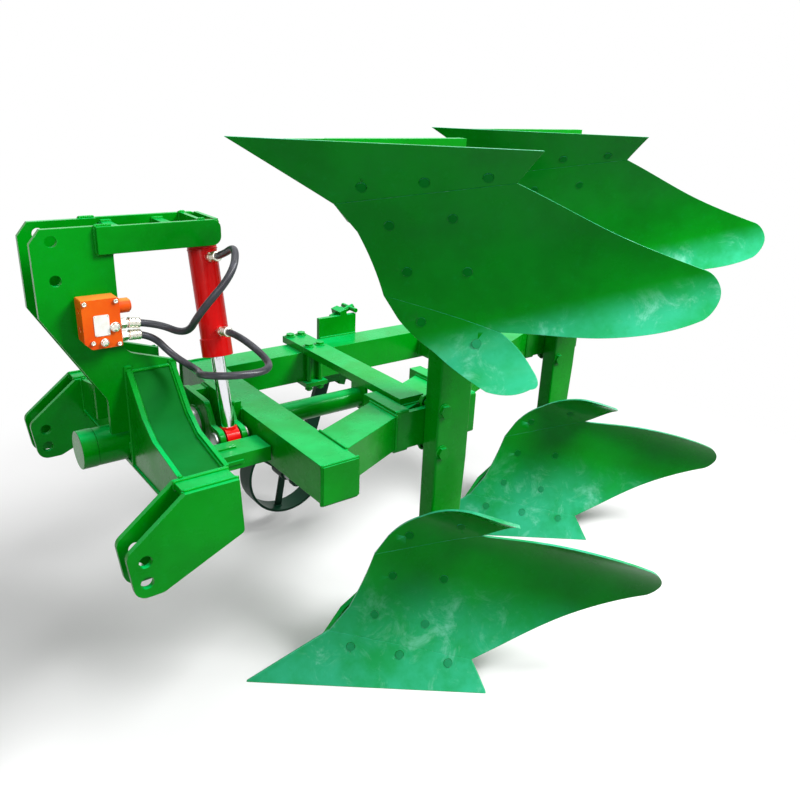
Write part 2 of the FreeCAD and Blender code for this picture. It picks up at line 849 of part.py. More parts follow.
def bolt(start, direction, radius, grip):
    # A hexagon bolt through a grip, with its nut and a short tail behind it
    way = V(direction).normalize()
    head_height = 1.2 * radius
    nut_height = 1.6 * radius
    head = hexagon(start - way * head_height, way, 1.8 * radius, head_height)
    shank = rod(start - way * head_height / 2, way, radius, grip + nut_height + head_height)
    nut = hexagon(start + way * grip, way, 1.8 * radius, nut_height)
    return single(shank.fuse([head, nut]).removeSplitter())


def far_clamp_bolts():
    top = beam_top() + cross_bar_thickness
    grip = top - beam_bottom() + clamp_plate_thickness
    return [bolt(V(p.x, p.y, top), V(0, 0, -1), clamp_bolt_radius, grip) for p in clamp_bolt_places()]


def standard_bolt_places():
    x = standard_front_x + standard_bolt_inset
    return [V(x, standard_near_y, axis_height + k * standard_bolt_rise) for k in (-1, 1)]


def standard_bolt_holes():
    reach = standard_thickness + bracket_flange + 2 * overrun
    return [rod(V(p.x, p.y - overrun, p.z), V(0, 1, 0), standard_bolt_radius + hole_clearance, reach)
            for p in standard_bolt_places()]


def standard_bolts():
    grip = standard_thickness + bracket_flange
    return [bolt(p, V(0, 1, 0), standard_bolt_radius, grip) for p in standard_bolt_places()]


def pair_shift():
    return V(body_pitch_x, body_pitch_y, 0)


def moved(shape, shift):
    copy = shape.copy()
    copy.translate(shift)
    return copy


def frame_bolts():
    standard = standard_bolts()
    return Part.makeCompound(far_clamp_bolts() + standard + [moved(b, pair_shift()) for b in standard])


def standard():
    x0, x1 = standard_front_x, standard_front_x + standard_width
    top = 2 * axis_height - standard_foot_z
    outline = [(x0, standard_foot_z), (x0, top), (x1 - standard_taper, top),
               (x1, axis_height + beam_height), (x1, axis_height - beam_height),
               (x1 - standard_taper, standard_foot_z)]
    body = plate_xz(outline, standard_near_y, standard_thickness)
    edges = [e for e in body.Edges if abs(e.tangentAt(e.FirstParameter).y) < 0.5
             and abs(e.tangentAt(e.FirstParameter).z) > 0.5]
    return single(body.makeFillet(standard_edge_radius, edges))


def bracket_strap_block(x0, x1):
    # A clamp round the main beam between two places along x
    y0 = standard_near_y + standard_thickness
    y1 = main_far_y(x1) + bracket_far_overhang
    z0, z1 = beam_bottom() - bracket_wall, beam_top() + bracket_wall
    outline = [(y0, z0, bracket_edge_radius), (y0, z1, bracket_edge_radius), (y1, z1), (y1, z0)]
    return plate_yz(outline, x0, x1 - x0)


def standard_bracket():
    y0 = standard_near_y + standard_thickness
    z0, z1 = beam_bottom() - bracket_wall, beam_top() + bracket_wall
    flange = box(bracket_front_x + bracket_strap, bracket_rear_x - bracket_strap, y0, y0 + bracket_flange,
                 z0 + bracket_edge_radius, z1 - bracket_edge_radius)
    front = bracket_strap_block(bracket_front_x, bracket_front_x + bracket_strap)
    rear = bracket_strap_block(bracket_rear_x - bracket_strap, bracket_rear_x)
    solid = front.fuse([rear, flange]).removeSplitter()
    return single(solid.cut([main_prism(0, 0)] + standard_bolt_holes()))


# Plough bodies; the first is built in place and the others are its copies

def body_placement():
    return FreeCAD.Placement(V(point_x, point_y, 0), FreeCAD.Rotation(V(0, 0, 1), -share_angle))


def face_waist(s):
    # Height at which the hollow face stands upright, lower toward the tail
    front, tail = face_waist_front_share * body_height, face_waist_tail_share * body_height
    return front + (tail - front) * s / body_length


def hollow_radius(s):
    # Radius of the face under its waist, drawn through the share's edge
    return (face_waist(s) ** 2 + face_depth ** 2) / (2 * face_depth)


def face_arc(s, radius, offset, angles):
    # Three places on an arc that stands upright at the waist, offset behind the working face
    back, up = face_depth - radius, face_waist(s)
    return [V(s, back + (radius + offset) * cos(a), up + (radius + offset) * sin(a)) for a in angles]


def face_arcs(s, offset):
    # The face's lower arc and its upper arc, which bends forward again
    low = -asin(face_waist(s) / hollow_radius(s)) - radians(face_dip)
    high = radians(face_crown)
    return [face_arc(s, hollow_radius(s), offset, (low, low / 2, 0)),
            face_arc(s, crown_radius, offset, (0, high / 2, high))]


def face_section(s, inner, outer):
    # Closed section of the face's shell at s along the share's edge
    near_low, near_high = face_arcs(s, inner)
    far_low, far_high = face_arcs(s, outer)
    return Part.Wire([Part.Arc(*near_low).toShape(), Part.Arc(*near_high).toShape(),
                      Part.LineSegment(near_high[2], far_high[2]).toShape(),
                      Part.Arc(*far_high[::-1]).toShape(), Part.Arc(*far_low[::-1]).toShape(),
                      Part.LineSegment(far_low[0], near_low[0]).toShape()])


def front_section(s, outer):
    # Closed section of all the space before the face's arcs
    low, high = face_arcs(s, outer)
    reach = V(0, -2 * body_height, 0)
    return Part.Wire([Part.Arc(*low).toShape(), Part.Arc(*high).toShape(),
                      Part.LineSegment(high[2], high[2] + reach).toShape(),
                      Part.LineSegment(high[2] + reach, low[0] + reach).toShape(),
                      Part.LineSegment(low[0] + reach, low[0]).toShape()])


def face_stations():
    first, last = -face_overrun, body_length + face_overrun
    return [first + k * (last - first) / face_sections for k in range(face_sections + 1)]


def shell(inner, outer):
    # The face's shell between two distances behind the working face
    return Part.makeLoft([face_section(s, inner, outer) for s in face_stations()], True, False)


def front_space(outer):
    return Part.makeLoft([front_section(s, outer) for s in face_stations()], True, False)


def face_point(point_share):
    return V(point_share[0] * body_length, 0, point_share[1] * body_height)


def face_prism(point_shares):
    # The space behind and before an outline given in shares
    reach = 2 * body_height
    places = []
    for p in point_shares:
        place = face_point(p) + V(0, -reach, 0)
        places.append((place, p[2] * body_height) if len(p) > 2 else place)
    return Part.Face(closed_wire(places)).extrude(V(0, 2 * reach, 0))


def edge_prism(runs):
    # As face_prism, but its outline is made of smooth curves, each through the points of a run
    reach = V(0, -2 * body_height, 0)
    edges = []
    for run in runs:
        places = [face_point(p) + reach for p in run]
        if len(places) == 2:
            edges.append(Part.LineSegment(places[0], places[1]).toShape())
        else:
            curve = Part.BSplineCurve()
            curve.interpolate(places)
            edges.append(curve.toShape())
    return Part.Face(Part.Wire(edges)).extrude(-2 * reach)


def share_prism():
    return face_prism([share_tip_share, share_edge_end_share, share_heel_share, share_shin_share])


def board_prism():
    return edge_prism([(share_shin_share, share_heel_share),
                       (share_heel_share, keel_front_share, keel_mid_share, keel_rear_share, tail_low_share),
                       (tail_low_share, tail_under_share, tail_tip_share, tail_high_share, top_tail_share),
                       (top_tail_share, top_low_share, top_rear_share, top_mid_share, top_front_share,
                        notch_share),
                       (notch_share, seam_share, shin_high_share),
                       (shin_high_share, shin_mid_share, shin_low_share),
                       (shin_low_share, share_shin_share)])


def trash_prism():
    return edge_prism([(notch_share, seam_share, shin_high_share),
                       (shin_high_share, shin_top_share),
                       (shin_top_share, crown_front_share, crown_low_share),
                       (crown_low_share, crown_mid_share, crown_top_share),
                       (crown_top_share, brow_share, finger_high_share),
                       (finger_high_share, finger_tip_share, finger_low_share),
                       (finger_low_share, finger_under_share, notch_share)])


def bolt_axis(point_share):
    # Start on the working face and backward way of a plough bolt
    s, z = point_share[0] * body_length, point_share[1] * body_height
    radius = hollow_radius(s) if z < face_waist(s) else crown_radius
    angle = asin((z - face_waist(s)) / radius)
    return V(s, face_depth - radius + radius * cos(angle), z), V(0, cos(angle), sin(angle))


def bolt_list():
    grip = face_thickness + frog_thickness
    return [(p, grip) for p in share_bolt_shares + board_bolt_shares] + [
        (p, face_thickness) for p in trash_bolt_shares]


def plough_bolt_holes():
    shapes = []
    for point_share, grip in bolt_list():
        place, way = bolt_axis(point_share)
        shapes.append(rod(place - way * overrun, way, plough_bolt_radius, overrun + grip + overrun))
        shapes.append(rod(place - way * overrun, way, plough_bolt_head, overrun + face_thickness / 2))
    return shapes


def plough_bolts():
    shapes = []
    for point_share, grip in bolt_list():
        place, way = bolt_axis(point_share)
        shank = rod(place, way, plough_bolt_radius, grip + plough_nut_height)
        head = rod(place - way * plough_bolt_proud, way, plough_bolt_head,
                   plough_bolt_proud + face_thickness / 2)
        nut = hexagon(place + way * (grip + hole_clearance), way, plough_nut_radius, plough_nut_height)
        shapes.append(single(shank.fuse([head, nut]).removeSplitter()))
    return shapes


def ground_limit():
    # Everything under the ground line, which the share's edge is cut to
    reach = 2 * body_length
    return box(-reach, reach, -reach, reach, -reach, 0)


def body_share():
    solid = shell(0, face_thickness).common(share_prism())
    return single(solid.cut([ground_limit()] + plough_bolt_holes()))


def body_board():
    solid = shell(0, face_thickness).common(board_prism())
    return single(solid.cut(plough_bolt_holes()))


def body_trash_board():
    solid = shell(0, trash_thickness).common(trash_prism())
    return single(solid.cut(plough_bolt_holes()))


def placed(shape):
    copy = shape.copy()
    copy.Placement = body_placement().multiply(copy.Placement)
    return copy


def frog():
    # The casting behind the face: a curved pad, a web along the landside and the standard's socket
    pad = shell(0, face_thickness + frog_thickness)
    pad = placed(single(pad.common(face_prism(frog_outline_shares))))
    inner_y = landside_y - landside_thickness
    x1 = landside_rear_x
    web = plate_xz([(landside_front_x - web_nose, 0), (x1, 0), (x1, landside_height),
                    (standard_front_x + standard_width, web_height + landside_height),
                    (standard_front_x, web_height + landside_height), (landside_front_x + landside_nose, web_height)],
                   inner_y - web_thickness, web_thickness)
    socket = box(standard_front_x - socket_wall, standard_front_x + standard_width + socket_wall,
                 standard_near_y - socket_wall, inner_y, standard_foot_z - socket_wall,
                 standard_foot_z + socket_height)
    front = placed(front_space(face_thickness))
    solid = web.fuse([socket, pad]).cut(front)
    spaces = [placed(n) for n in plough_bolt_holes() + frog_nut_spaces()]
    return single(solid.cut([standard()] + spaces).removeSplitter())


def frog_nut_spaces():
    shapes = []
    for point_share, grip in bolt_list():
        place, way = bolt_axis(point_share)
        shapes.append(rod(place + way * grip, way, plough_nut_radius + hole_clearance, overrun))
    return shapes


def landside():
    y0 = landside_y - landside_thickness
    plate = plate_xz([(landside_front_x, 0), (landside_rear_x, 0), (landside_rear_x, landside_height),
                      (landside_front_x + landside_nose, landside_height)], y0, landside_thickness)
    front = placed(front_space(face_thickness))
    return single(plate.cut(front))


def four_bodies(shape):
    # Front lower, front upper, rear lower and rear upper copies of one piece
    rear = moved(shape, pair_shift())
    return {"front_lower": shape, "front_upper": upside_down(shape),
            "rear_lower": rear, "rear_upper": upside_down(rear)}


# Turnover cylinder, built upright under the arm pin and then swung to the crank pin

def cylinder_swing():
    return degrees(atan2(crank_radius, arm_pin_z - axis_height))


def gland_port_along():
    return barrel_length - (gland_height - gland_reach) - port_radius - gland_port_gap


def cylinder_reach():
    return sqrt(crank_radius ** 2 + (arm_pin_z - axis_height) ** 2)


def swung(shape):
    copy = shape.copy()
    copy.rotate(V(cylinder_x, 0, arm_pin_z), V(1, 0, 0), -cylinder_swing())
    return copy


def below_pin(along):
    return V(cylinder_x, 0, arm_pin_z - along)


def cylinder_barrel():
    half = barrel_eye_width / 2
    start, bottom = barrel_start, barrel_length
    tube = rod(below_pin(start), V(0, 0, -1), barrel_radius, bottom - start)
    eye = rod(V(cylinder_x - half, 0, arm_pin_z), V(1, 0, 0), barrel_eye_radius, 2 * half)
    neck = box(cylinder_x - half, cylinder_x + half, -barrel_eye_radius, barrel_eye_radius,
               arm_pin_z - start - barrel_cap / 2, arm_pin_z)
    bore = rod(below_pin(start + barrel_cap), V(0, 0, -1), barrel_radius - barrel_wall, bottom)
    pin = rod(V(cylinder_x - half - overrun, 0, arm_pin_z), V(1, 0, 0), arm_pin_radius + run_clearance,
              2 * half + 2 * overrun)
    solid = tube.fuse([eye, neck]).removeSplitter()
    return swung(single(solid.cut([bore, pin] + port_bores())))


def port_heights():
    return (top_port_along, gland_port_along())


def port_bores():
    shapes = []
    for along in port_heights():
        shapes.append(rod(below_pin(along), V(0, -1, 0), port_bore_radius, barrel_radius + port_length))
    return shapes


def cylinder_ports():
    shapes = []
    for along in port_heights():
        start = below_pin(along)
        boss = rod(start, V(0, -1, 0), port_radius, barrel_radius + port_length)
        nut = hexagon(start + V(0, -barrel_radius - port_length / 3, 0), V(0, -1, 0), fitting_hex_radius,
                      port_length / 3)
        solid = boss.fuse(nut).removeSplitter()
        shapes.append(swung(single(solid.cut([rod(below_pin(0), V(0, 0, -1), barrel_radius, barrel_length)]))))
    return Part.makeCompound(shapes)


def gland_nut():
    top = barrel_length - gland_height + gland_reach
    outer = rod(below_pin(top), V(0, 0, -1), gland_radius, gland_height)
    seat = rod(below_pin(top), V(0, 0, -1), barrel_radius, barrel_length - top)
    plug_space = rod(below_pin(top), V(0, 0, -1), rod_radius + run_clearance, gland_height + overrun)
    plug = rod(below_pin(barrel_length - gland_height + gland_reach), V(0, 0, -1), barrel_radius - barrel_wall,
               gland_height - gland_reach)
    solid = outer.cut(seat).fuse(plug).removeSplitter()
    return swung(single(solid.cut(plug_space)))


def piston_rod():
    reach = cylinder_reach()
    start = reach - crank_eye_radius - rod_length()
    return swung(rod(below_pin(start), V(0, 0, -1), rod_radius, rod_length()))


def rod_length():
    gland_top = barrel_length - gland_height + gland_reach
    return cylinder_reach() - crank_eye_radius - gland_top + piston_height + piston_gap()


def piston_gap():
    return hole_clearance


def piston():
    gland_top = barrel_length - gland_height + gland_reach
    start = gland_top - piston_gap() - piston_height
    disc = pipe(below_pin(start), V(0, 0, -1), barrel_radius - barrel_wall - run_clearance, rod_radius,
                piston_height)
    return swung(disc)


def rod_eye():
    half = rod_eye_width / 2
    centre = V(cylinder_x, 0, arm_pin_z - cylinder_reach())
    ring = rod(centre - V(half, 0, 0), V(1, 0, 0), crank_eye_radius, rod_eye_width)
    collar = rod(centre + V(0, 0, crank_eye_radius * 2 / 3), V(0, 0, 1), rod_radius * 1.25,
                 crank_eye_radius / 3)
    hole = rod(centre - V(half + overrun, 0, 0), V(1, 0, 0), crank_pin_radius, rod_eye_width + 2 * overrun)
    rod_space = rod(centre + V(0, 0, crank_eye_radius), V(0, 0, 1), rod_radius, overrun)
    return swung(single(ring.fuse(collar).removeSplitter().cut([hole, rod_space])))


def rod_pin():
    half = crank_gap / 2 - fit_gap
    centre = V(cylinder_x - half, 0, arm_pin_z - cylinder_reach())
    return swung(rod(centre, V(1, 0, 0), crank_pin_radius, 2 * half))


# Hoses

def port_tip(along, out):
    # Place beside the swung barrel, along it from the pin and out from its axis
    mark = swung(Part.Vertex(V(cylinder_x, -out, arm_pin_z - along)))
    return mark.Point


def hose_points(start, start_run, route, along, end_run):
    reach = barrel_radius + port_length
    tip = port_tip(along, reach)
    return [start, start + V(start_run, 0, 0)] + [V(*p) for p in route] + [
        port_tip(along, reach + end_run), tip]


def route_wire(points):
    # Straight runs joined by tangent arcs, each as large as its two runs allow
    edges, last, radii = [], points[0], []
    for before, here, after in zip(points, points[1:], points[2:]):
        back, ahead = before - here, after - here
        shorter = min(back.Length, ahead.Length)
        half = back.getAngle(ahead) / 2
        reach = arc_share * shorter
        radius = reach * tan(half)
        radii.append(radius)
        back, ahead = back.normalize(), ahead.normalize()
        enter, leave = here + back * reach, here + ahead * reach
        middle = here + (back + ahead).normalize() * (radius / sin(half) - radius)
        edges.append(Part.LineSegment(last, enter).toShape())
        edges.append(Part.Arc(enter, middle, leave).toShape())
        last = leave
    edges.append(Part.LineSegment(last, points[-1]).toShape())
    return Part.Wire(edges), radii


def hose(points):
    wire, radii = route_wire(points)
    way = (points[1] - points[0]).normalize()
    ring = Part.Wire([Part.makeCircle(hose_radius, points[0], way)])
    tube = wire.makePipeShell([ring], True, False)
    section = pi * hose_radius ** 2
    print("hose length", round(wire.Length), "radii", [round(r) for r in radii],
          "volume share", round(tube.Volume / (section * wire.Length), 4))
    return tube


def upper_hose():
    start = valve_fitting_starts()[1] + V(fitting_length, 0, 0)
    return hose(hose_points(start, upper_hose_start_run, upper_hose_route, top_port_along, upper_hose_end_run))


def lower_hose():
    start = valve_fitting_starts()[0] + V(fitting_length, 0, 0)
    return hose(hose_points(start, lower_hose_start_run, lower_hose_route, gland_port_along(), lower_hose_end_run))


# Gauge wheel

def wheel_arm_lean():
    # Angle between the hanging arm and the vertical
    return atan2(wheel_pivot_x - wheel_centre_x, axis_height - wheel_centre_z)


def wheel_arm_length():
    return sqrt((wheel_pivot_x - wheel_centre_x) ** 2 + (axis_height - wheel_centre_z) ** 2)


def wheel_bracket_y():
    return far_beam_far_y() + bracket_plate_thickness


def wheel_bracket():
    # A plate on the far beam with two lugs for the stop screws and the pivot pin's seat
    half = bracket_plate_height / 2
    x0 = wheel_pivot_x - bracket_plate_length / 2
    plate = box(x0, x0 + bracket_plate_length, far_beam_far_y(), wheel_bracket_y(),
                axis_height - half, axis_height + half)
    lugs = [wheel_lug(k) for k in (-1, 1)]
    solid = plate.fuse(lugs).removeSplitter()
    pin = rod(V(wheel_pivot_x, far_beam_far_y(), axis_height), V(0, 1, 0), wheel_pin_radius, overrun)
    return single(solid.cut([pin, wheel_screw(-1), wheel_screw(1)]))


def arm_frame(side):
    # Point beside the pivot and its outward way, for the lower (-1) or upper (1) stop
    lean = wheel_arm_lean()
    down = V(-sin(lean), 0, side * cos(lean))
    rearward = V(cos(lean), 0, side * sin(lean))
    y = wheel_arm_y() + wheel_arm_thickness / 2
    return V(wheel_pivot_x, y, axis_height) + down * wheel_stop_reach, rearward


def wheel_arm_y():
    return wheel_bracket_y() + wheel_boss_length / 2 - wheel_arm_thickness / 2


def wheel_screw(side):
    place, way = arm_frame(side)
    start = place + way * (wheel_arm_width / 2 + fit_gap)
    return rod(start, way, wheel_stop_radius, wheel_stop_length)


def wheel_lug(side):
    place, way = arm_frame(side)
    across = way.cross(V(0, 1, 0)).normalize()
    y0, y1 = far_beam_far_y(), place.y + wheel_lug_half
    near = V(place.x, y0, place.z) + way * wheel_lug_start
    corners = [near - across * wheel_lug_half, near + across * wheel_lug_half,
               near + across * wheel_lug_half + way * wheel_lug_depth,
               near - across * wheel_lug_half + way * wheel_lug_depth]
    return Part.Face(Part.makePolygon(corners + [corners[0]])).extrude(V(0, y1 - y0, 0))


def wheel_stop_screws():
    shapes = []
    for side in (-1, 1):
        place, way = arm_frame(side)
        end = place + way * (wheel_arm_width / 2 + fit_gap + wheel_stop_length - 2 * wheel_handle_radius)
        handle = rod(end - V(0, wheel_handle_half, 0), V(0, 1, 0), wheel_handle_radius, 2 * wheel_handle_half)
        nut = hexagon(place + way * (wheel_lug_start + wheel_lug_depth), way, 2 * wheel_stop_radius,
                      wheel_stop_radius)
        shapes.append(single(wheel_screw(side).fuse([handle, nut]).removeSplitter()))
    return Part.makeCompound(shapes)


def wheel_pivot_pin():
    length = bracket_plate_thickness + wheel_boss_length + 2 * fit_gap
    start = V(wheel_pivot_x, far_beam_far_y(), axis_height)
    pin = rod(start, V(0, 1, 0), wheel_pin_radius, length)
    head = rod(start + V(0, length, 0), V(0, 1, 0), wheel_boss_radius * 0.75, wheel_pin_head)
    return single(pin.fuse(head).removeSplitter())


def wheel_arm():
    lean = wheel_arm_lean()
    down, across = V(-sin(lean), 0, -cos(lean)), V(cos(lean), 0, -sin(lean))
    pivot = V(wheel_pivot_x, wheel_arm_y(), axis_height)
    half = wheel_arm_width / 2
    length = wheel_arm_length()
    corners = [(pivot - across * half - down * half, half * 0.9), (pivot + across * half - down * half, half * 0.9),
               (pivot + across * half + down * (length + half), half * 0.9),
               (pivot - across * half + down * (length + half), half * 0.9)]
    bar = Part.Face(closed_wire(corners)).extrude(V(0, wheel_arm_thickness, 0))
    boss_start = V(wheel_pivot_x, wheel_bracket_y() + fit_gap, axis_height)
    boss = rod(boss_start, V(0, 1, 0), wheel_boss_radius, wheel_boss_length)
    hole = rod(boss_start - V(0, overrun, 0), V(0, 1, 0), wheel_pin_radius + run_clearance,
               wheel_boss_length + 2 * overrun)
    axle = rod(V(wheel_centre_x, wheel_arm_y() - overrun, wheel_centre_z), V(0, 1, 0), axle_radius,
               wheel_arm_thickness + 2 * overrun)
    return single(bar.fuse(boss).removeSplitter().cut([hole, axle]))


def hub_start_y():
    return wheel_centre_y - wheel_hub_length / 2


def wheel_axle():
    start = V(wheel_centre_x, wheel_arm_y(), wheel_centre_z)
    end_y = hub_start_y() + wheel_hub_length + fit_gap
    axle = rod(start, V(0, 1, 0), axle_radius, end_y + axle_collar - start.y)
    inner = rod(V(wheel_centre_x, wheel_arm_y() + wheel_arm_thickness, wheel_centre_z), V(0, 1, 0),
                axle_collar_radius, hub_start_y() - fit_gap - wheel_arm_y() - wheel_arm_thickness)
    outer = rod(V(wheel_centre_x, end_y, wheel_centre_z), V(0, 1, 0), axle_collar_radius, axle_collar)
    return single(axle.fuse([inner, outer]).removeSplitter())


def wheel_hub():
    return pipe(V(wheel_centre_x, hub_start_y(), wheel_centre_z), V(0, 1, 0), wheel_hub_radius,
                axle_radius + run_clearance, wheel_hub_length)


def wheel_rim():
    return pipe(V(wheel_centre_x, wheel_centre_y - wheel_width / 2, wheel_centre_z), V(0, 1, 0), wheel_radius,
                wheel_radius - rim_thickness, wheel_width)


def wheel_spokes():
    shapes = []
    centre = V(wheel_centre_x, wheel_centre_y, wheel_centre_z)
    inner_ring = wheel_radius - rim_thickness
    for k in range(spoke_count):
        bar = box(wheel_centre_x, wheel_centre_x + inner_ring + rim_thickness / 2,
                  wheel_centre_y - spoke_thickness / 2, wheel_centre_y + spoke_thickness / 2,
                  wheel_centre_z - spoke_width / 2, wheel_centre_z + spoke_width / 2)
        bar.rotate(centre, V(0, 1, 0), spoke_turn + k * 360.0 / spoke_count)
        start = V(wheel_centre_x, wheel_centre_y - wheel_width, wheel_centre_z)
        bar = bar.common(rod(start, V(0, 1, 0), inner_ring, 2 * wheel_width))
        shapes.append(single(bar.cut(rod(start, V(0, 1, 0), wheel_hub_radius, 2 * wheel_width))))
    return Part.makeCompound(shapes)


def all_nodes():
    nodes = {
        "mast_plates": mast_plates(),
        "arm_plates": arm_plates(),
        "arm_spacers": arm_spacers(),
        "wing_plates": wing_plates(),
        "side_covers": side_covers(),
        "lower_cross_plate": lower_cross_plate(),
        "hitch_plates": Part.makeCompound([s for y in (hitch_inner_y, hitch_outer_y()) for s in hitch_plate(y).Solids]),
        "hitch_spacers": hitch_spacers(),
        "bearing_tube": bearing_tube(),
        "bearing_bushes": bearing_bushes(),
        "arm_pin": arm_pin(),
        "valve_block": valve_block(),
        "valve_fittings": valve_fittings(),
        "stop_brackets": stop_brackets(),
        "stop_screws": stop_screws(),
        "turnover_shaft": turnover_shaft(),
        "hub_cap": hub_cap(),
        "thrust_ring": thrust_ring(),
        "crank_plates": crank_plates(),
        "crank_blocks": crank_blocks(),
        "crank_pin_ends": crank_pin_ends(),
        "front_cross_beam": front_cross_beam(),
        "main_beam": main_beam(),
        "far_beam": far_beam(),
        "beam_end_caps": beam_end_caps(),
        "rear_tie_tube": rear_tie_tube(),
        "centre_tube": centre_tube(),
        "rear_cross_bar": rear_cross_bar(),
        "far_clamp_plate": far_clamp_plate(),
        "frame_bolts": frame_bolts(),
        "standards": None,
        "standard_brackets": None,
        "wheel_bracket": wheel_bracket(),
        "wheel_stop_screws": wheel_stop_screws(),
        "wheel_pivot_pin": wheel_pivot_pin(),
        "cylinder_barrel": cylinder_barrel(),
        "cylinder_ports": cylinder_ports(),
        "gland_nut": gland_nut(),
        "piston_rod": piston_rod(),
        "piston": piston(),
        "rod_eye": rod_eye(),
        "rod_pin": rod_pin(),
        "wheel_arm": wheel_arm(),
        "wheel_axle": wheel_axle(),
        "wheel_hub_and_spokes": Part.makeCompound([wheel_hub()] + wheel_spokes().Solids),
        "wheel_rim": wheel_rim(),
    }
    bracket = standard_bracket()
    nodes["standard_brackets"] = Part.makeCompound([bracket, moved(bracket, pair_shift())])
    leg = single(standard().cut(standard_bolt_holes()))
    nodes["standards"] = Part.makeCompound([leg, moved(leg, pair_shift())])
    for piece, shape in (("share", placed(body_share())), ("mouldboard", placed(body_board()))):
        for place, copy in four_bodies(shape).items():
            nodes[place + "_" + piece] = copy
    bolts = Part.makeCompound([placed(b) for b in plough_bolts()])
    for piece, shape in (("trash_boards", placed(body_trash_board())), ("frogs", frog()),
                         ("landsides", landside()), ("plough_bolts", bolts)):
        copies = four_bodies(shape)
        nodes[piece] = Part.makeCompound([s for c in copies.values() for s in c.Solids])
    return nodes


def base_shift(nodes):
    # Brings the origin to the middle of the footprint, on the ground
    bounds = Part.makeCompound(list(nodes.values())).optimalBoundingBox(False, False)
    return V(-bounds.Center.x, -bounds.Center.y, -bounds.ZMin)


def main():
    os.makedirs("parts", exist_ok=True)
    nodes = all_nodes()
    shift = base_shift(nodes)
    nodes["upper_hose"] = upper_hose()
    nodes["lower_hose"] = lower_hose()
    print("shift", [round(c, 6) for c in shift])
    for name, shape in nodes.items():
        shape.translate(shift)
        shape.exportStep("parts/" + name + ".step")
        print(name, len(shape.Solids), shape.isValid(), round(shape.Volume))


main()
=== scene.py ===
"""Looks of the reversible plough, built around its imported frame. Metres, in the axes of the CAD."""

import json
from math import cos, pi, radians, sin

import bmesh
import bpy
from mathutils import Matrix, Vector, noise
from mathutils.bvhtree import BVHTree


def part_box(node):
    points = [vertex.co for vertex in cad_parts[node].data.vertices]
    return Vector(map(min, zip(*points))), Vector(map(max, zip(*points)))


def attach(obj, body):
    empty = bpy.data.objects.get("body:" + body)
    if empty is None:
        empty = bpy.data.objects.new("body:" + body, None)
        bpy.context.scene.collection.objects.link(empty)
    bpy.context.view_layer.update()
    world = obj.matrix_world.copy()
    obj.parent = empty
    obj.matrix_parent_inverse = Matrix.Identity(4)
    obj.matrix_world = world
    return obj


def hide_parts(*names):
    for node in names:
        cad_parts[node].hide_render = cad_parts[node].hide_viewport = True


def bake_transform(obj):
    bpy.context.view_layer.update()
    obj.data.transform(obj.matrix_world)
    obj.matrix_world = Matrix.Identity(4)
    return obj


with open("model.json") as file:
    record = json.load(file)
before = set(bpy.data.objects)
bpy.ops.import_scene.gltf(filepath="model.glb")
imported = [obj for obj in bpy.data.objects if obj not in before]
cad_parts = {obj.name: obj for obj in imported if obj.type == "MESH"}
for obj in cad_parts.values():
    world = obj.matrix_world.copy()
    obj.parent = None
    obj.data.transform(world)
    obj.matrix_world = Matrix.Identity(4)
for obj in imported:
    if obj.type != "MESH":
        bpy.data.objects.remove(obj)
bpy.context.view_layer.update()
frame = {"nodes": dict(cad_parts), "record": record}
nodes = frame["nodes"]

# The headstock's own zero: front of the turnover axis, at the middle of the bearing tube
BEARING_START = 0.008
bearing_low, bearing_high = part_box("bearing_tube")
ZERO_X = bearing_low.x - BEARING_START
AXIS_Y = (bearing_low.y + bearing_high.y) / 2


def at(x, y, z):
    """A place given from the headstock's zero: along the axis, across it and above the floor."""
    return Vector((ZERO_X + x, AXIS_Y + y, z))


# Camera, solved from edges of the photograph: its place, its angles in degrees and its lens in mm
CAMERA_PLACE = at(-0.45454, -1.82307, 1.61513)
CAMERA_PITCH = 22.155
CAMERA_ROLL = -2.64
CAMERA_HEADING = 51.986
CAMERA_LENS = 34.6


def add_camera():
    pitch, roll, heading = radians(CAMERA_PITCH), radians(CAMERA_ROLL), radians(CAMERA_HEADING)
    ahead = Vector((cos(pitch) * cos(heading), cos(pitch) * sin(heading), -sin(pitch)))
    level = Vector((sin(heading), -cos(heading), 0))
    down = ahead.cross(level)
    right = level * cos(roll) + down * sin(roll)
    up = level * sin(roll) - down * cos(roll)
    turn = Matrix((right, up, -ahead)).transposed().to_4x4()
    data = bpy.data.cameras.new("camera")
    data.lens = CAMERA_LENS
    camera = bpy.data.objects.new("camera", data)
    bpy.context.scene.collection.objects.link(camera)
    camera.matrix_world = Matrix.Translation(CAMERA_PLACE) @ turn
    bpy.context.scene.camera = camera


# Mesh helpers

JOIN_DISTANCE = 0.00002


def add_piece(name, bm, material, body, smooth=True):
    """Turns a bmesh into a piece that rides on a body."""
    bmesh.ops.recalc_face_normals(bm, faces=bm.faces)
    mesh = bpy.data.meshes.new(name)
    bm.to_mesh(mesh)
    bm.free()
    for polygon in mesh.polygons:
        polygon.use_smooth = smooth
    mesh.materials.append(material)
    piece = bpy.data.objects.new(name, mesh)
    bpy.context.scene.collection.objects.link(piece)
    if body:
        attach(piece, body)
    return piece


def joined_mesh(name):
    """A node's mesh as a bmesh, with the split corners of its faces joined."""
    bm = bmesh.new()
    bm.from_mesh(nodes[name].data)
    bmesh.ops.remove_doubles(bm, verts=bm.verts, dist=JOIN_DISTANCE)
    return bm


def sides_along(points):
    """For each point of a line a steady pair of sideways ways."""
    ways = [(b - a).normalized() for a, b in zip(points, points[1:])]
    forward = [ways[0]] + [(a + b).normalized() for a, b in zip(ways, ways[1:])] + [ways[-1]]
    side = forward[0].orthogonal().normalized()
    pairs = []
    for way in forward:
        side = (side - way * side.dot(way)).normalized()
        pairs.append((side, way.cross(side)))
    return pairs


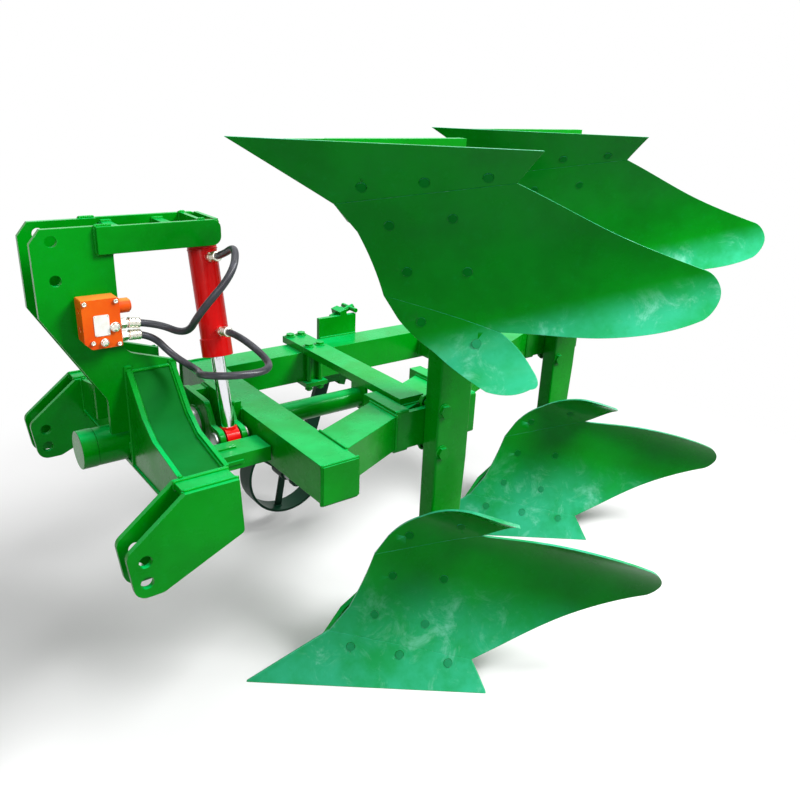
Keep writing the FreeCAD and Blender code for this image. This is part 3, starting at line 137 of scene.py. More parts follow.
def ring_of(bm, middle, side, up, radius, corners):
    """Corners in a circle around a place."""
    ring = []
    for k in range(corners):
        angle = 2 * pi * k / corners
        ring.append(bm.verts.new(middle + (side * cos(angle) + up * sin(angle)) * radius))
    return ring


def skin(bm, rings):
    """Faces from each ring to the next, and one over each end."""
    for one, two in zip(rings, rings[1:]):
        corners = len(one)
        for k in range(corners):
            bm.faces.new((one[k], one[(k + 1) % corners], two[(k + 1) % corners], two[k]))
    bm.faces.new(rings[0][::-1])
    bm.faces.new(rings[-1])


def sweep(bm, points, radii, corners):
    """A round tube through the points, with one radius for each point."""
    rings = []
    for point, radius, (side, up) in zip(points, radii, sides_along(points)):
        rings.append(ring_of(bm, point, side, up, radius, corners))
    skin(bm, rings)


def turned(bm, start, way, profile, corners=32):
    """A turned solid: profile lists (distance along, radius) from start."""
    way = way.normalized()
    side = way.orthogonal().normalized()
    up = way.cross(side)
    rings = []
    for along, radius in profile:
        rings.append(ring_of(bm, start + way * along, side, up, radius, corners))
    skin(bm, rings)


def add_turned(name, slot, body, places, profile, corners=24):
    """The same turned shape at several places, as one piece."""
    bm = bmesh.new()
    for start, way in places:
        turned(bm, start, Vector(way), profile, corners)
    add_piece(name, bm, materials[slot], body)


# Node trees

class NodeWork:
    """Short calls that add nodes to one tree. An underscore in a socket's name is a space there."""

    def __init__(self, tree):
        self.tree = tree

    def node(self, kind, **values):
        made = self.tree.nodes.new("ShaderNode" + kind)
        for key, value in values.items():
            if hasattr(made, key):
                setattr(made, key, value)
            else:
                self.put(made.inputs[key.replace("_", " ")], value)
        return made

    def put(self, socket, value):
        if isinstance(value, bpy.types.NodeSocket):
            self.tree.links.new(value, socket)
        else:
            socket.default_value = value

    def band(self, value, low, high, least=0.0, most=1.0):
        """Rises smoothly from least, where value is low, to most, where it is high."""
        made = self.node("MapRange", interpolation_type="SMOOTHSTEP")
        for socket, number in zip(made.inputs, (value, low, high, least, most)):
            self.put(socket, number)
        return made.outputs["Result"]

    def math(self, operation, one, two):
        made = self.node("Math", operation=operation)
        self.put(made.inputs[0], one)
        self.put(made.inputs[1], two)
        return made.outputs["Value"]

    def times(self, one, two):
        return self.math("MULTIPLY", one, two)

    def seen_directly(self):
        """1 for camera, glossy and transmitted rays, and 0 for the light on the object."""
        path = self.node("LightPath")
        seen = self.math("MAXIMUM", path.outputs["Is Camera Ray"], path.outputs["Is Glossy Ray"])
        return self.math("MAXIMUM", seen, path.outputs["Is Transmission Ray"])


class Shader(NodeWork):
    """A new material and its nodes. The scale of its noise is about the blotches along a metre."""

    def __init__(self, name):
        self.material = bpy.data.materials.new(name)
        self.material.use_nodes = True
        super().__init__(self.material.node_tree)
        self.bsdf = self.tree.nodes["Principled BSDF"]

    def surface(self, **values):
        """Sets the shader's own sockets."""
        for key, value in values.items():
            self.put(self.bsdf.inputs[key.replace("_", " ")], value)

    def place(self):
        return self.node("TexCoord").outputs["Object"]

    def noise(self, scale, detail=4.0, roughness=0.55, distortion=0.0):
        made = self.node("TexNoise", Scale=scale, Detail=detail, Roughness=roughness,
                         Distortion=distortion, Vector=self.place())
        return made.outputs["Fac"]

    def patches(self, low, high, least=0.0, most=1.0, **pattern):
        """Blotches: least where the pattern's noise is under low, most where it is over high."""
        return self.band(self.noise(**pattern), low, high, least, most)

    def blend(self, share, one, two):
        made = self.node("Mix", data_type="RGBA")
        self.put(made.inputs["Factor"], share)
        self.put(made.inputs["A"], one)
        self.put(made.inputs["B"], two)
        return made.outputs["Result"]

    def edges(self, radius):
        """0 on flat surfaces, and more near sharp edges."""
        rounded = self.node("Bevel", samples=4, Radius=radius).outputs["Normal"]
        flat = self.node("NewGeometry").outputs["Normal"]
        made = self.node("VectorMath", operation="DOT_PRODUCT")
        self.put(made.inputs[0], rounded)
        self.put(made.inputs[1], flat)
        return self.math("SUBTRACT", 1.0, made.outputs["Value"])

    def upward(self, low, high):
        """1 on faces that look up as the plough stands, from 0 where their normal rises by low."""
        normal = self.node("TexCoord").outputs["Normal"]
        return self.band(self.node("SeparateXYZ", Vector=normal).outputs["Z"], low, high)

    def bump(self, height, distance, strength):
        made = self.node("Bump", Height=height, Distance=distance, Strength=strength)
        return made.outputs["Normal"]


def colour(red, green, blue):
    return (red, green, blue, 1.0)


# Paint: its patterns, from broad drifts of tone to fine specks, and its bumps of orange peel
DRIFT = dict(scale=3.2, detail=5.0, roughness=0.6, low=0.35, high=0.68)
# Clouds break up the painted top light on faces that look up
TOP_LIGHT_CLOUDS = dict(scale=6.5, detail=4.0, roughness=0.6, low=0.25, high=0.65, least=0.35, most=0.95)
# Smears lay a painted highlight on the working faces
HIGHLIGHT_SMEARS = dict(scale=11.0, detail=7.0, roughness=0.72, distortion=0.6, low=0.50, high=0.72,
              most=0.75)
MOTTLE = dict(scale=46.0, detail=6.0, roughness=0.7, low=0.52, high=0.80, most=0.30)
CHIPS = dict(scale=85.0, detail=5.0, roughness=0.72, distortion=0.4, low=0.50, high=0.62)
SPECKS = dict(scale=210.0, detail=3.0, roughness=0.6, low=0.765, high=0.81, most=0.6)
DULLNESS = dict(scale=9.0, detail=6.0, roughness=0.65, low=0.3, high=0.75)
DULLNESS_SPREAD = 0.14
EDGE_RADIUS = 0.0022
EDGE_WEAR = dict(low=0.05, high=0.30)
BARE_DULLNESS = 0.25
BARE_DEPTH = 0.8
BROAD_PEEL = dict(scale=38.0, detail=3.0)
FINE_PEEL = dict(scale=260.0, detail=2.0)
FINE_PEEL_SHARE = 0.5
PEEL_BUMP = dict(distance=0.0004, strength=0.35)
PAINT_COAT = dict(Coat_Roughness=0.08, Coat_IOR=1.45)
PAINT_SPECULAR = 0.16
# Bands of the normal's rise over which faces that look up get painted top light
UPPER_FACES = (0.60, 0.97)
# This broader band of painted top light is for the working faces and the bolts
BROAD_TOP_LIT_FACES = (0.10, 0.55)
NO_TINT = (1.0, 1.0, 1.0)


def painted_top_light_tone(shader, tone, top_lit_colour, rise, painted_highlight):
    """Paints the faces that look up lighter, as painted top light, and lays a painted highlight on
    them in smears.
    """
    top_light_mask = shader.times(shader.upward(*rise), shader.patches(**TOP_LIGHT_CLOUDS))
    tone = shader.blend(top_light_mask, tone, colour(*top_lit_colour))
    if painted_highlight:
        highlight_smears = shader.times(top_light_mask, shader.patches(**HIGHLIGHT_SMEARS))
        tone = shader.blend(highlight_smears, tone, colour(*painted_highlight))
    return tone


def bare_spots(shader):
    """Where the paint is off: chips along the edges, and specks anywhere."""
    edges = shader.band(shader.edges(EDGE_RADIUS), **EDGE_WEAR)
    worn = shader.times(edges, shader.patches(**CHIPS))
    return shader.math("MAXIMUM", worn, shader.patches(**SPECKS))


def orange_peel(shader, bare):
    """The height of the sprayed surface, with its bare spots sunk in."""
    fine = shader.times(shader.noise(**FINE_PEEL), FINE_PEEL_SHARE)
    peel = shader.math("ADD", fine, shader.noise(**BROAD_PEEL))
    return shader.math("SUBTRACT", peel, shader.times(bare, BARE_DEPTH))


def paint(name, base, deep, dust, top_lit_colour, worn, roughness, coat,
          tint=NO_TINT, rise=UPPER_FACES, painted_highlight=None):
    """Sprayed gloss paint: drifting tone, orange peel, dull dust, and edges worn to primer.

    Faces that look up are painted lighter, as painted top light, from none to full as their normal
    rises from the first value of rise to the second. A given highlight colour is laid on those faces
    in smears, as a painted highlight.
    """
    shader = Shader(name)
    tone = shader.blend(shader.patches(**DRIFT), colour(*base), colour(*deep))
    tone = painted_top_light_tone(shader, tone, top_lit_colour, rise, painted_highlight)
    tone = shader.blend(shader.patches(**MOTTLE), tone, colour(*dust))
    bare = bare_spots(shader)
    tone = shader.blend(bare, tone, colour(*worn))
    dull = shader.patches(**DULLNESS, least=roughness, most=roughness + DULLNESS_SPREAD)
    rough = shader.math("ADD", dull, shader.times(bare, BARE_DULLNESS))
    peel = shader.bump(orange_peel(shader, bare), **PEEL_BUMP)
    shader.surface(Base_Color=tone, Roughness=rough, Normal=peel)
    shader.surface(Coat_Weight=coat, **PAINT_COAT)
    shader.surface(Specular_Tint=colour(*tint), Specular_IOR_Level=PAINT_SPECULAR)
    return shader.material


# Colours of the green paint, and then each paint by the slot or the pieces that wear it
GREEN = (0.000, 0.290, 0.006)
GREEN_DEEP = (0.000, 0.200, 0.002)
GREEN_DUST = (0.004, 0.330, 0.040)
# Painted top light: the lighter green on faces that look up
GREEN_TOP_LIT = (0.002, 0.500, 0.104)
# Painted top light and sheen on the working faces that look up
GREEN_SHEEN_TOP_LIT = (0.040, 0.520, 0.270)
# Painted highlight: the pale smears on the working faces
GREEN_PAINTED_HIGHLIGHT = (0.300, 0.780, 0.600)
GREEN_WORN = (0.160, 0.560, 0.300)
GREEN_GLOSS = (0.20, 1.00, 0.60)


def green_paint():
    return paint("green_paint", base=GREEN, deep=GREEN_DEEP, dust=GREEN_DUST, top_lit_colour=GREEN_TOP_LIT,
                 worn=GREEN_WORN, roughness=0.22, coat=0.05, tint=GREEN_GLOSS)


def rubbed_paint():
    """The green of the shares and mouldboards, with a broad band of painted top light and a painted
    highlight on faces that look up.
    """
    return paint("rubbed_paint", base=GREEN, deep=GREEN_DEEP, dust=GREEN_DUST, top_lit_colour=GREEN_SHEEN_TOP_LIT,
                 worn=GREEN_WORN, roughness=0.17, coat=0.05, tint=GREEN_GLOSS,
                 rise=BROAD_TOP_LIT_FACES, painted_highlight=GREEN_PAINTED_HIGHLIGHT)


def bolt_paint():
    """The darker, duller green on the heads of the plough bolts."""
    return paint("bolt_paint", base=(0.000, 0.200, 0.012), deep=(0.000, 0.140, 0.006),
                 dust=(0.020, 0.230, 0.080), top_lit_colour=(0.030, 0.380, 0.190),
                 worn=(0.160, 0.300, 0.220), roughness=0.36, coat=0.0, tint=GREEN_GLOSS,
                 rise=BROAD_TOP_LIT_FACES)


def cover_paint():
    """A darker copy of the green, laid on the side covers as painted shade."""
    return paint("cover_paint", base=(0.000, 0.120, 0.001), deep=(0.000, 0.080, 0.000),
                 dust=(0.001, 0.140, 0.008), top_lit_colour=(0.002, 0.180, 0.025), worn=GREEN_WORN,
                 roughness=0.36, coat=0.0, tint=GREEN_GLOSS)


def red_paint():
    return paint("red_paint", base=(0.80, 0.004, 0.004), deep=(0.66, 0.002, 0.003),
                 dust=(0.84, 0.03, 0.03), top_lit_colour=(0.84, 0.02, 0.02), worn=(0.80, 0.30, 0.26),
                 roughness=0.20, coat=0.12, tint=(1.0, 0.55, 0.50))


def orange_paint():
    return paint("orange_paint", base=(0.88, 0.150, 0.004), deep=(0.74, 0.060, 0.002),
                 dust=(0.90, 0.26, 0.03), top_lit_colour=(0.92, 0.30, 0.05), worn=(0.95, 0.72, 0.45),
                 roughness=0.34, coat=0.1)


def dark_paint():
    return paint("dark_paint", base=(0.001, 0.020, 0.008), deep=(0.001, 0.008, 0.004),
                 dust=(0.005, 0.040, 0.020), top_lit_colour=(0.006, 0.055, 0.026), worn=(0.06, 0.16, 0.11),
                 roughness=0.36, coat=0.0, tint=(0.4, 1.0, 0.7))


# Metals: stains, rust and the fine marks of turning or grinding
STAINS = dict(scale=14.0, detail=6.0, roughness=0.65, low=0.42, high=0.72)
RUST_SPOTS = dict(scale=33.0, detail=8.0, roughness=0.7, low=0.60, high=0.72)
RUST_COVER = 0.8
POLISH = dict(scale=60.0, detail=5.0, roughness=0.6, low=0.3, high=0.7)
BRUSH = dict(detail=3.0, roughness=0.6)
BRUSH_BUMP = dict(distance=0.0002, strength=0.25)


def metal(name, base, stained, roughness, brush_scale, rust=None):
    """Machined or plated metal: fine marks, stains and a little rust in places."""
    shader = Shader(name)
    tone = shader.blend(shader.patches(**STAINS), colour(*base), colour(*stained))
    if rust:
        spots = shader.patches(**RUST_SPOTS)
        tone = shader.blend(spots, tone, colour(*rust))
        shader.surface(Metallic=shader.math("SUBTRACT", 1.0, shader.times(spots, RUST_COVER)))
    else:
        shader.surface(Metallic=1.0)
    rough = shader.patches(**POLISH, least=roughness, most=roughness + DULLNESS_SPREAD)
    marks = shader.bump(shader.noise(brush_scale, **BRUSH), **BRUSH_BUMP)
    shader.surface(Base_Color=tone, Roughness=rough, Normal=marks)
    return shader.material


def bare_steel():
    return metal("bare_steel", base=(0.46, 0.47, 0.48), stained=(0.30, 0.29, 0.27), roughness=0.28,
                 brush_scale=420.0, rust=(0.20, 0.08, 0.03))


def plated_fittings():
    return metal("plated_fittings", base=(0.82, 0.80, 0.72), stained=(0.66, 0.62, 0.50),
                 roughness=0.20, brush_scale=300.0)


def chromed_rod():
    return metal("chromed_rod", base=(0.86, 0.87, 0.90), stained=(0.74, 0.75, 0.78), roughness=0.06,
                 brush_scale=700.0)


def bronze():
    return metal("bronze", base=(0.60, 0.40, 0.18), stained=(0.44, 0.26, 0.10), roughness=0.30,
                 brush_scale=380.0)


# Label plate and hose cover
LABEL_WHITE = (0.90, 0.90, 0.88)
LABEL_YELLOWED = (0.84, 0.82, 0.74)
LABEL_AGE = dict(scale=60.0, detail=5.0, roughness=0.6, low=0.40, high=0.70)
LABEL_DULLNESS = dict(scale=90.0, low=0.3, high=0.7, least=0.30, most=0.45)
LABEL_GRAIN = dict(scale=300.0)
LABEL_BUMP = dict(distance=0.0001, strength=0.3)
RUBBER_BLACK = (0.008, 0.009, 0.016)
RUBBER_DUSTY = (0.028, 0.030, 0.048)
RUBBER_DUST = dict(scale=42.0, detail=6.0, roughness=0.7, low=0.46, high=0.72)
RUBBER_DULLNESS = dict(scale=30.0, low=0.3, high=0.7, least=0.30, most=0.48)
RUBBER_SPECULAR = 0.6
WRAPPING = dict(wave_type="BANDS", bands_direction="DIAGONAL", Scale=150.0, Distortion=0.6,
                Detail=2.0)
WRAPPING_BUMP = dict(distance=0.0005, strength=0.5)


def label_paint():
    """Bare white label plate, a little yellowed."""
    shader = Shader("label_paint")
    tone = shader.blend(shader.patches(**LABEL_AGE), colour(*LABEL_WHITE), colour(*LABEL_YELLOWED))
    grain = shader.bump(shader.noise(**LABEL_GRAIN), **LABEL_BUMP)
    shader.surface(Base_Color=tone, Roughness=shader.patches(**LABEL_DULLNESS), Normal=grain)
    return shader.material


def hose_rubber():
    """Black hose cover with the faint slanting print of its wrapping, which follows the UV map."""
    shader = Shader("hose_rubber")
    unrolled = shader.node("UVMap", uv_map="wrap").outputs["UV"]
    print_marks = shader.node("TexWave", **WRAPPING, Vector=unrolled).outputs["Fac"]
    tone = shader.blend(shader.patches(**RUBBER_DUST), colour(*RUBBER_BLACK), colour(*RUBBER_DUSTY))
    shader.surface(Base_Color=tone, Roughness=shader.patches(**RUBBER_DULLNESS),
                   Normal=shader.bump(print_marks, **WRAPPING_BUMP),
                   Specular_IOR_Level=RUBBER_SPECULAR)
    return shader.material


# Materials by the names of their functions. Most of these are the record's slot names
MATERIALS = (green_paint, rubbed_paint, bolt_paint, cover_paint, red_paint, orange_paint,
             dark_paint, label_paint, bare_steel, plated_fittings, chromed_rod, bronze, hose_rubber)
materials = {make.__name__: make() for make in MATERIALS}


# Hoses: the solid hoses' lengths and route points, some moved a little to follow the photograph.
# The places are from the headstock's zero.
HOSE_RADIUS = 0.0085
HOSE_CORNERS = 20
HOSE_ROUTES = {
    "upper_hose": (0.581, [(0.094, -0.083, 1.082), (0.158, -0.083, 1.073), (0.205, -0.158, 1.054),
                           (0.200, -0.252, 1.133), (0.272, -0.279, 1.219), (0.314, -0.210, 1.266),
                           (0.316, -0.1248, 1.2259), (0.316, -0.0752, 1.214)]),
    "lower_hose": (0.744, [(0.094, -0.083, 1.052), (0.144, -0.083, 1.050), (0.190, -0.100, 0.988),
                           (0.226, -0.174, 0.965), (0.178, -0.280, 0.999), (0.218, -0.355, 1.012),
                           (0.310, -0.355, 1.006), (0.357, -0.278, 1.002), (0.316, -0.1792, 1.0508),
                           (0.316, -0.1179, 1.0361)]),
}
CRIMP_PROFILE = [(0.000, 0.0086), (0.000, 0.0122), (0.002, 0.0128), (0.006, 0.0128),
                 (0.0075, 0.0119), (0.010, 0.0119), (0.0115, 0.0127), (0.015, 0.0127),
                 (0.0165, 0.0118), (0.019, 0.0118), (0.0205, 0.0126), (0.026, 0.0126),
                 (0.028, 0.0108), (0.028, 0.0086)]
CURVE_STEPS = 14


def spline_points(name, route):
    """Points along the smooth line that the route's points control."""
    data = bpy.data.curves.new(name + "_line", "CURVE")
    data.dimensions = "3D"
    data.resolution_u = CURVE_STEPS
    spline = data.splines.new("NURBS")
    spline.points.add(len(route) - 1)
    for point, place in zip(spline.points, route):
        point.co = (*at(*place), 1.0)
    spline.order_u = 3
    spline.use_endpoint_u = True
    carrier = bpy.data.objects.new(name + "_line", data)
    mesh = bpy.data.meshes.new_from_object(carrier)
    points = [vert.co.copy() for vert in mesh.vertices]
    bpy.data.objects.remove(carrier)
    return points


def unroll_tube(bm, points):
    """Gives the tube its UV map, in metres: u around it and v along it."""
    layer = bm.loops.layers.uv.new("wrap")
    run = [0.0]
    for one, two in zip(points, points[1:]):
        run.append(run[-1] + (two - one).length)
    bm.verts.index_update()
    for face in bm.faces:
        for loop in face.loops:
            ring, step = divmod(loop.vert.index, HOSE_CORNERS)
            loop[layer].uv = (step / HOSE_CORNERS * 2 * pi * HOSE_RADIUS, run[ring])


def add_crimp(name, place, way, body):
    """The pressed sleeve on one end of a hose."""
    bm = bmesh.new()
    turned(bm, place, way, CRIMP_PROFILE)
    slot = "plated_fittings"
    return add_piece(name + "_crimp_" + body, bm, materials[slot], body)


def add_hose(name, route):
    points = spline_points(name, route)
    bm = bmesh.new()
    sweep(bm, points, [HOSE_RADIUS] * len(points), HOSE_CORNERS)
    unroll_tube(bm, points)
    piece = add_piece(name + "_tube", bm, materials["hose_rubber"], None)
    crimps = [add_crimp(name, points[0], points[1] - points[0], "headstock"),
              add_crimp(name, points[-1], points[-2] - points[-1], "cylinder_barrel")]
    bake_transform(piece)
    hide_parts(name)


# Weld beads, found where a sharp edge of one node lies on a node that it is welded to

SHARP_ANGLE = radians(25)
SHORTEST_EDGE = 0.0001
WELD_REACH = 0.0005
WELD_STEP = 0.0016
WELD_PITCH = 0.0048
WELD_CORNERS = 8

# For each body the radius of its beads, their paint, and the pairs of its nodes that are welded
WELDS = {
    "headstock": (0.0044, "green_paint", (
        ("arm_plates", "mast_plates"), ("arm_spacers", "arm_plates"),
        ("mast_plates", "bearing_tube"), ("wing_plates", "bearing_tube"),
        ("wing_plates", "mast_plates"), ("side_covers", "wing_plates"),
        ("side_covers", "mast_plates"), ("lower_cross_plate", "wing_plates"),
        ("lower_cross_plate", "bearing_tube"), ("hitch_plates", "wing_plates"),
        ("hitch_plates", "side_covers"), ("hitch_plates", "lower_cross_plate"),
        ("hitch_spacers", "hitch_plates"), ("stop_brackets", "wing_plates"),
        ("stop_brackets", "lower_cross_plate"))),
    "plough_frame": (0.0044, "green_paint", (
        ("crank_blocks", "crank_plates"), ("crank_blocks", "front_cross_beam"),
        ("main_beam", "front_cross_beam"), ("far_beam", "front_cross_beam"),
        ("beam_end_caps", "main_beam"), ("beam_end_caps", "far_beam"),
        ("beam_end_caps", "front_cross_beam"), ("rear_tie_tube", "main_beam"),
        ("rear_tie_tube", "far_beam"), ("centre_tube", "front_cross_beam"),
        ("centre_tube", "rear_cross_bar"), ("rear_cross_bar", "main_beam"),
        ("standard_brackets", "main_beam"), ("wheel_bracket", "far_beam"),
        ("frogs", "standards"), ("thrust_ring", "crank_plates"))),
    "cylinder_barrel": (0.0022, "red_paint", (("cylinder_ports", "cylinder_barrel"),)),
    "wheel_arm": (0.0026, "dark_paint", (("wheel_arm", "wheel_axle"),)),
    "gauge_wheel": (0.0026, "dark_paint", (("wheel_hub_and_spokes", "wheel_rim"),)),
}


class Surface:
    """A node's sharp edges, and a tree that finds near places on it."""

    def __init__(self, name):
        bm = joined_mesh(name)
        bm.normal_update()
        self.tree = BVHTree.FromBMesh(bm)
        self.edges = [[vert.co.copy() for vert in edge.verts] for edge in bm.edges
                      if len(edge.link_faces) == 2 and edge.calc_face_angle(0.0) > SHARP_ANGLE]
        bm.free()


# Rays look around a place on an edge. Where it is welded, some are free and lean to one side
LOOK_RAYS = 12
LOOK_START = 0.0008
LOOK_REACH = 0.16
LEAST_ROOM = 0.014
FEWEST_FREE = 2
MOST_FREE = 8
LEAST_LEAN = 0.5


def open_way(place, way, trees):
    """The middle of the free side about a place on an edge, or None if nothing is welded there."""
    side = way.orthogonal().normalized()
    up = way.cross(side)
    total, free = Vector(), 0
    for k in range(LOOK_RAYS):
        angle = 2 * pi * (k + 0.5) / LOOK_RAYS
        out = side * cos(angle) + up * sin(angle)
        clear = True
        for tree in trees:
            hit, normal, _, distance = tree.ray_cast(place + out * LOOK_START, out, LOOK_REACH)
            if hit is not None and (normal.dot(out) > 0 or distance < LEAST_ROOM):
                clear = False
        if clear:
            total += out
            free += 1
    if free < FEWEST_FREE or free > MOST_FREE or total.length < LEAST_LEAN:
        return None
    return total.normalized()


def edge_runs(start, end, one, two):
    """Runs of (place, open way) along one sharp edge of one, where it lies on two."""
    length = (end - start).length
    if length < SHORTEST_EDGE:
        return []
    count = max(1, round(length / WELD_STEP))
    way = (end - start) / length
    runs, run = [], []
    for k in range(count + 1):
        place = start.lerp(end, k / count)
        out = None
        if two.tree.find_nearest(place, WELD_REACH)[0] is not None:
            beside = start.lerp(end, (k + 0.5) / (count + 1))
            out = open_way(beside, way, (one.tree, two.tree))
        if out is not None:
            run.append((place, out))
        else:
            runs.append(run)
            run = []
    runs.append(run)
    return [run for run in runs if len(run) > 1]


def contact_runs(one, two):
    """Runs of (place, open way) along all sharp edges of one that lie on two."""
    return [run for start, end in one.edges for run in edge_runs(start, end, one, two)]


# Places count as one in the same fifth of a millimetre, and as covered by a bead in the same two
KEYS_IN_A_METRE = 5000
COVER_SHARE = 0.1


def corner_key(place):
    return tuple(round(c * KEYS_IN_A_METRE) for c in place)


def cover_key(place):
    return corner_key(place * COVER_SHARE)


def chained(runs):
    """Joins runs that end where another starts."""
    ends = {}
    for run in runs:
        for end in (run[0][0], run[-1][0]):
            ends.setdefault(corner_key(end), []).append(run)
    used, chains = set(), []
    for first in runs:
        if id(first) in used:
            continue
        used.add(id(first))
        chain = list(first)
        for _ in range(2):
            while True:
                here = corner_key(chain[-1][0])
                near = [run for run in ends.get(here, ()) if id(run) not in used]
                if not near:
                    break
                used.add(id(near[0]))
                more = near[0]
                if corner_key(more[0][0]) != here:
                    more = more[::-1]
                chain += more[1:]
            chain.reverse()
        chains.append(chain)
    return chains


FEWEST_NEW_PLACES = 5


def new_places(chain, taken):
    """Leaves out of a chain what an earlier bead already covers."""
    parts, part = [], []
    for place, out in chain:
        if cover_key(place) in taken:
            parts.append(part)
            part = []
        else:
            part.append((place, out))
    parts.append(part)
    return [part for part in parts if len(part) >= FEWEST_NEW_PLACES]


# A bead's ripple and its other shares of the radius, and the least distance and number of its rings
RIPPLE_SHARE = 0.10
UNEVEN_SHARE = 0.10
UNEVEN_SCALE = 60
PROUD_SHARE = 0.15
END_SHARE = 0.55
LEAST_RING_STEP = 0.0004
FEWEST_RINGS = 4


def bead(bm, chain, radius):
    """A rippled bead along a chain, a little proud of its corner."""
    points, radii, run = [], [], 0.0
    for index, (place, out) in enumerate(chain):
        if index:
            step = (place - chain[index - 1][0]).length
            if step < LEAST_RING_STEP:
                continue
            run += step
        ripple = RIPPLE_SHARE * sin(2 * pi * run / WELD_PITCH)
        uneven = UNEVEN_SHARE * noise.noise(place * UNEVEN_SCALE)
        points.append(place + out * radius * PROUD_SHARE)
        radii.append(radius * (1.0 + ripple + uneven))
    if len(points) >= FEWEST_RINGS:
        radii[0] = radii[-1] = radius * END_SHARE
        sweep(bm, points, radii, WELD_CORNERS)


def weld(bm, one, two, radius):
    """Beads along the edges of one on two, and along those of two on one that are still bare."""
    taken = set()
    for chain in chained(contact_runs(one, two)):
        bead(bm, chain, radius)
        taken.update(cover_key(place) for place, _ in chain)
    for chain in chained(contact_runs(two, one)):
        for part in new_places(chain, taken):
            bead(bm, part, radius)


def add_welds():
    welded = {name for _, _, pairs in WELDS.values() for pair in pairs for name in pair}
    surfaces = {name: Surface(name) for name in sorted(welded)}
    for body, (radius, slot, pairs) in WELDS.items():
        bm = bmesh.new()
        for one, two in pairs:
            weld(bm, surfaces[one], surfaces[two], radius)
        add_piece(body + "_welds", bm, materials[slot], body)


# Washers under the heads and nuts of the frame's bolts

WASHER_THICKNESS = 0.0026
WASHER_CHAMFER = 0.0006
CLAMP_WASHER_RADIUS = 0.0175
CLAMP_HEAD_HEIGHT = 0.0096
CLAMP_NUT_END = 0.0176
STANDARD_WASHER_RADIUS = 0.0215
STANDARD_HEAD_HEIGHT = 0.012
STANDARD_NUT_END = 0.022


def islands(name):
    """Lowest and highest corner of each loose solid of a node."""
    bm = joined_mesh(name)
    seen, boxes = set(), []
    for vert in bm.verts:
        if vert in seen:
            continue
        stack, found = [vert], []
        seen.add(vert)
        while stack:
            here = stack.pop()
            found.append(here.co.copy())
            for edge in here.link_edges:
                other = edge.other_vert(here)
                if other not in seen:
                    seen.add(other)
                    stack.append(other)
        boxes.append((Vector(min(corner[k] for corner in found) for k in range(3)),
                      Vector(max(corner[k] for corner in found) for k in range(3))))
    bm.free()
    return boxes


def washer_profile(radius):
    return [(0.0, radius), (WASHER_THICKNESS - WASHER_CHAMFER, radius),
            (WASHER_THICKNESS, radius - WASHER_CHAMFER), (WASHER_THICKNESS, radius / 2)]


def add_washers():
    """The clamp's bolts stand upright, and those of the standards lie across the frame."""
    clamp, standard = [], []
    for low, high in islands("frame_bolts"):
        middle, size = (low + high) / 2, high - low
        if size.z > size.y:
            for z, way in ((high.z - CLAMP_HEAD_HEIGHT, 1), (low.z + CLAMP_NUT_END, -1)):
                clamp.append((Vector((middle.x, middle.y, z)), (0, 0, way)))
        else:
            for y, way in ((low.y + STANDARD_HEAD_HEIGHT, -1), (high.y - STANDARD_NUT_END, 1)):
                standard.append((Vector((middle.x, y, middle.z)), (0, way, 0)))
    for name, places, radius in (("clamp_washers", clamp, CLAMP_WASHER_RADIUS),
                                 ("standard_washers", standard, STANDARD_WASHER_RADIUS)):
        add_turned(name, "green_paint", "plough_frame", places, washer_profile(radius))


# The valve's face, in places from the headstock's zero: corner screws, plugs and a bare label

OUT_OF_VALVE = (0, -1, 0)
VALVE_FACE_Y = -0.106
SCREW_PLACES = ((-0.005, 1.143), (0.064, 1.143), (0.064, 1.043), (0.006, 1.052))
SCREW_PROFILE = [(0.0, 0.0052), (0.0046, 0.0052), (0.0054, 0.0046), (0.0054, 0.0026),
                 (0.0026, 0.0024)]
PLUGS = (((0.058, 1.083), 0.0105), ((0.032, 1.050), 0.0085))
PLUG_HEIGHT = 0.007
COLLAR_HEIGHT = 0.002
COLLAR_SHARE = 1.1
HEAD_SHARES = ((0.0, 0.97), (0.06, 1.0), (0.80, 1.0), (1.0, 0.84))
LABEL_LOW = (0.012, 1.066)
LABEL_HIGH = (0.046, 1.114)
LABEL_THICKNESS = 0.0014
LABEL_CORNER = 0.003
CORNER_STEPS = 5
RIVET_INSET = 0.0028
RIVET_PROFILE = [(0.0, 0.0015), (0.0005, 0.0014), (0.0009, 0.0008)]
BULGE_END = (0.098, -0.083, 1.124)
BULGE_PROFILE = [(0.0, 0.0140), (0.003, 0.0140), (0.0045, 0.0125), (0.0045, 0.006),
                 (0.0025, 0.0055)]


def on_valve(place, proud=0.0):
    """A place on the valve's face, given along the axis and above the floor."""
    x, z = place
    return at(x, VALVE_FACE_Y - proud, z)


def hex_head(bm, start, way, radius, height):
    """A hexagon head with its corners chamfered."""
    profile = [(height * along, radius * share) for along, share in HEAD_SHARES]
    turned(bm, start, way, profile, corners=6)


def add_valve_screws():
    places = [(on_valve(place), OUT_OF_VALVE) for place in SCREW_PLACES]
    add_turned("valve_screws", "plated_fittings", "headstock", places, SCREW_PROFILE)


def add_valve_plugs():
    bm = bmesh.new()
    way = Vector(OUT_OF_VALVE)
    for place, radius in PLUGS:
        collar = radius * COLLAR_SHARE
        turned(bm, on_valve(place), way, [(0.0, collar), (COLLAR_HEIGHT, collar)], corners=24)
        hex_head(bm, on_valve(place, COLLAR_HEIGHT), way, radius, PLUG_HEIGHT)
    add_piece("valve_plugs", bm, materials["plated_fittings"], "headstock")


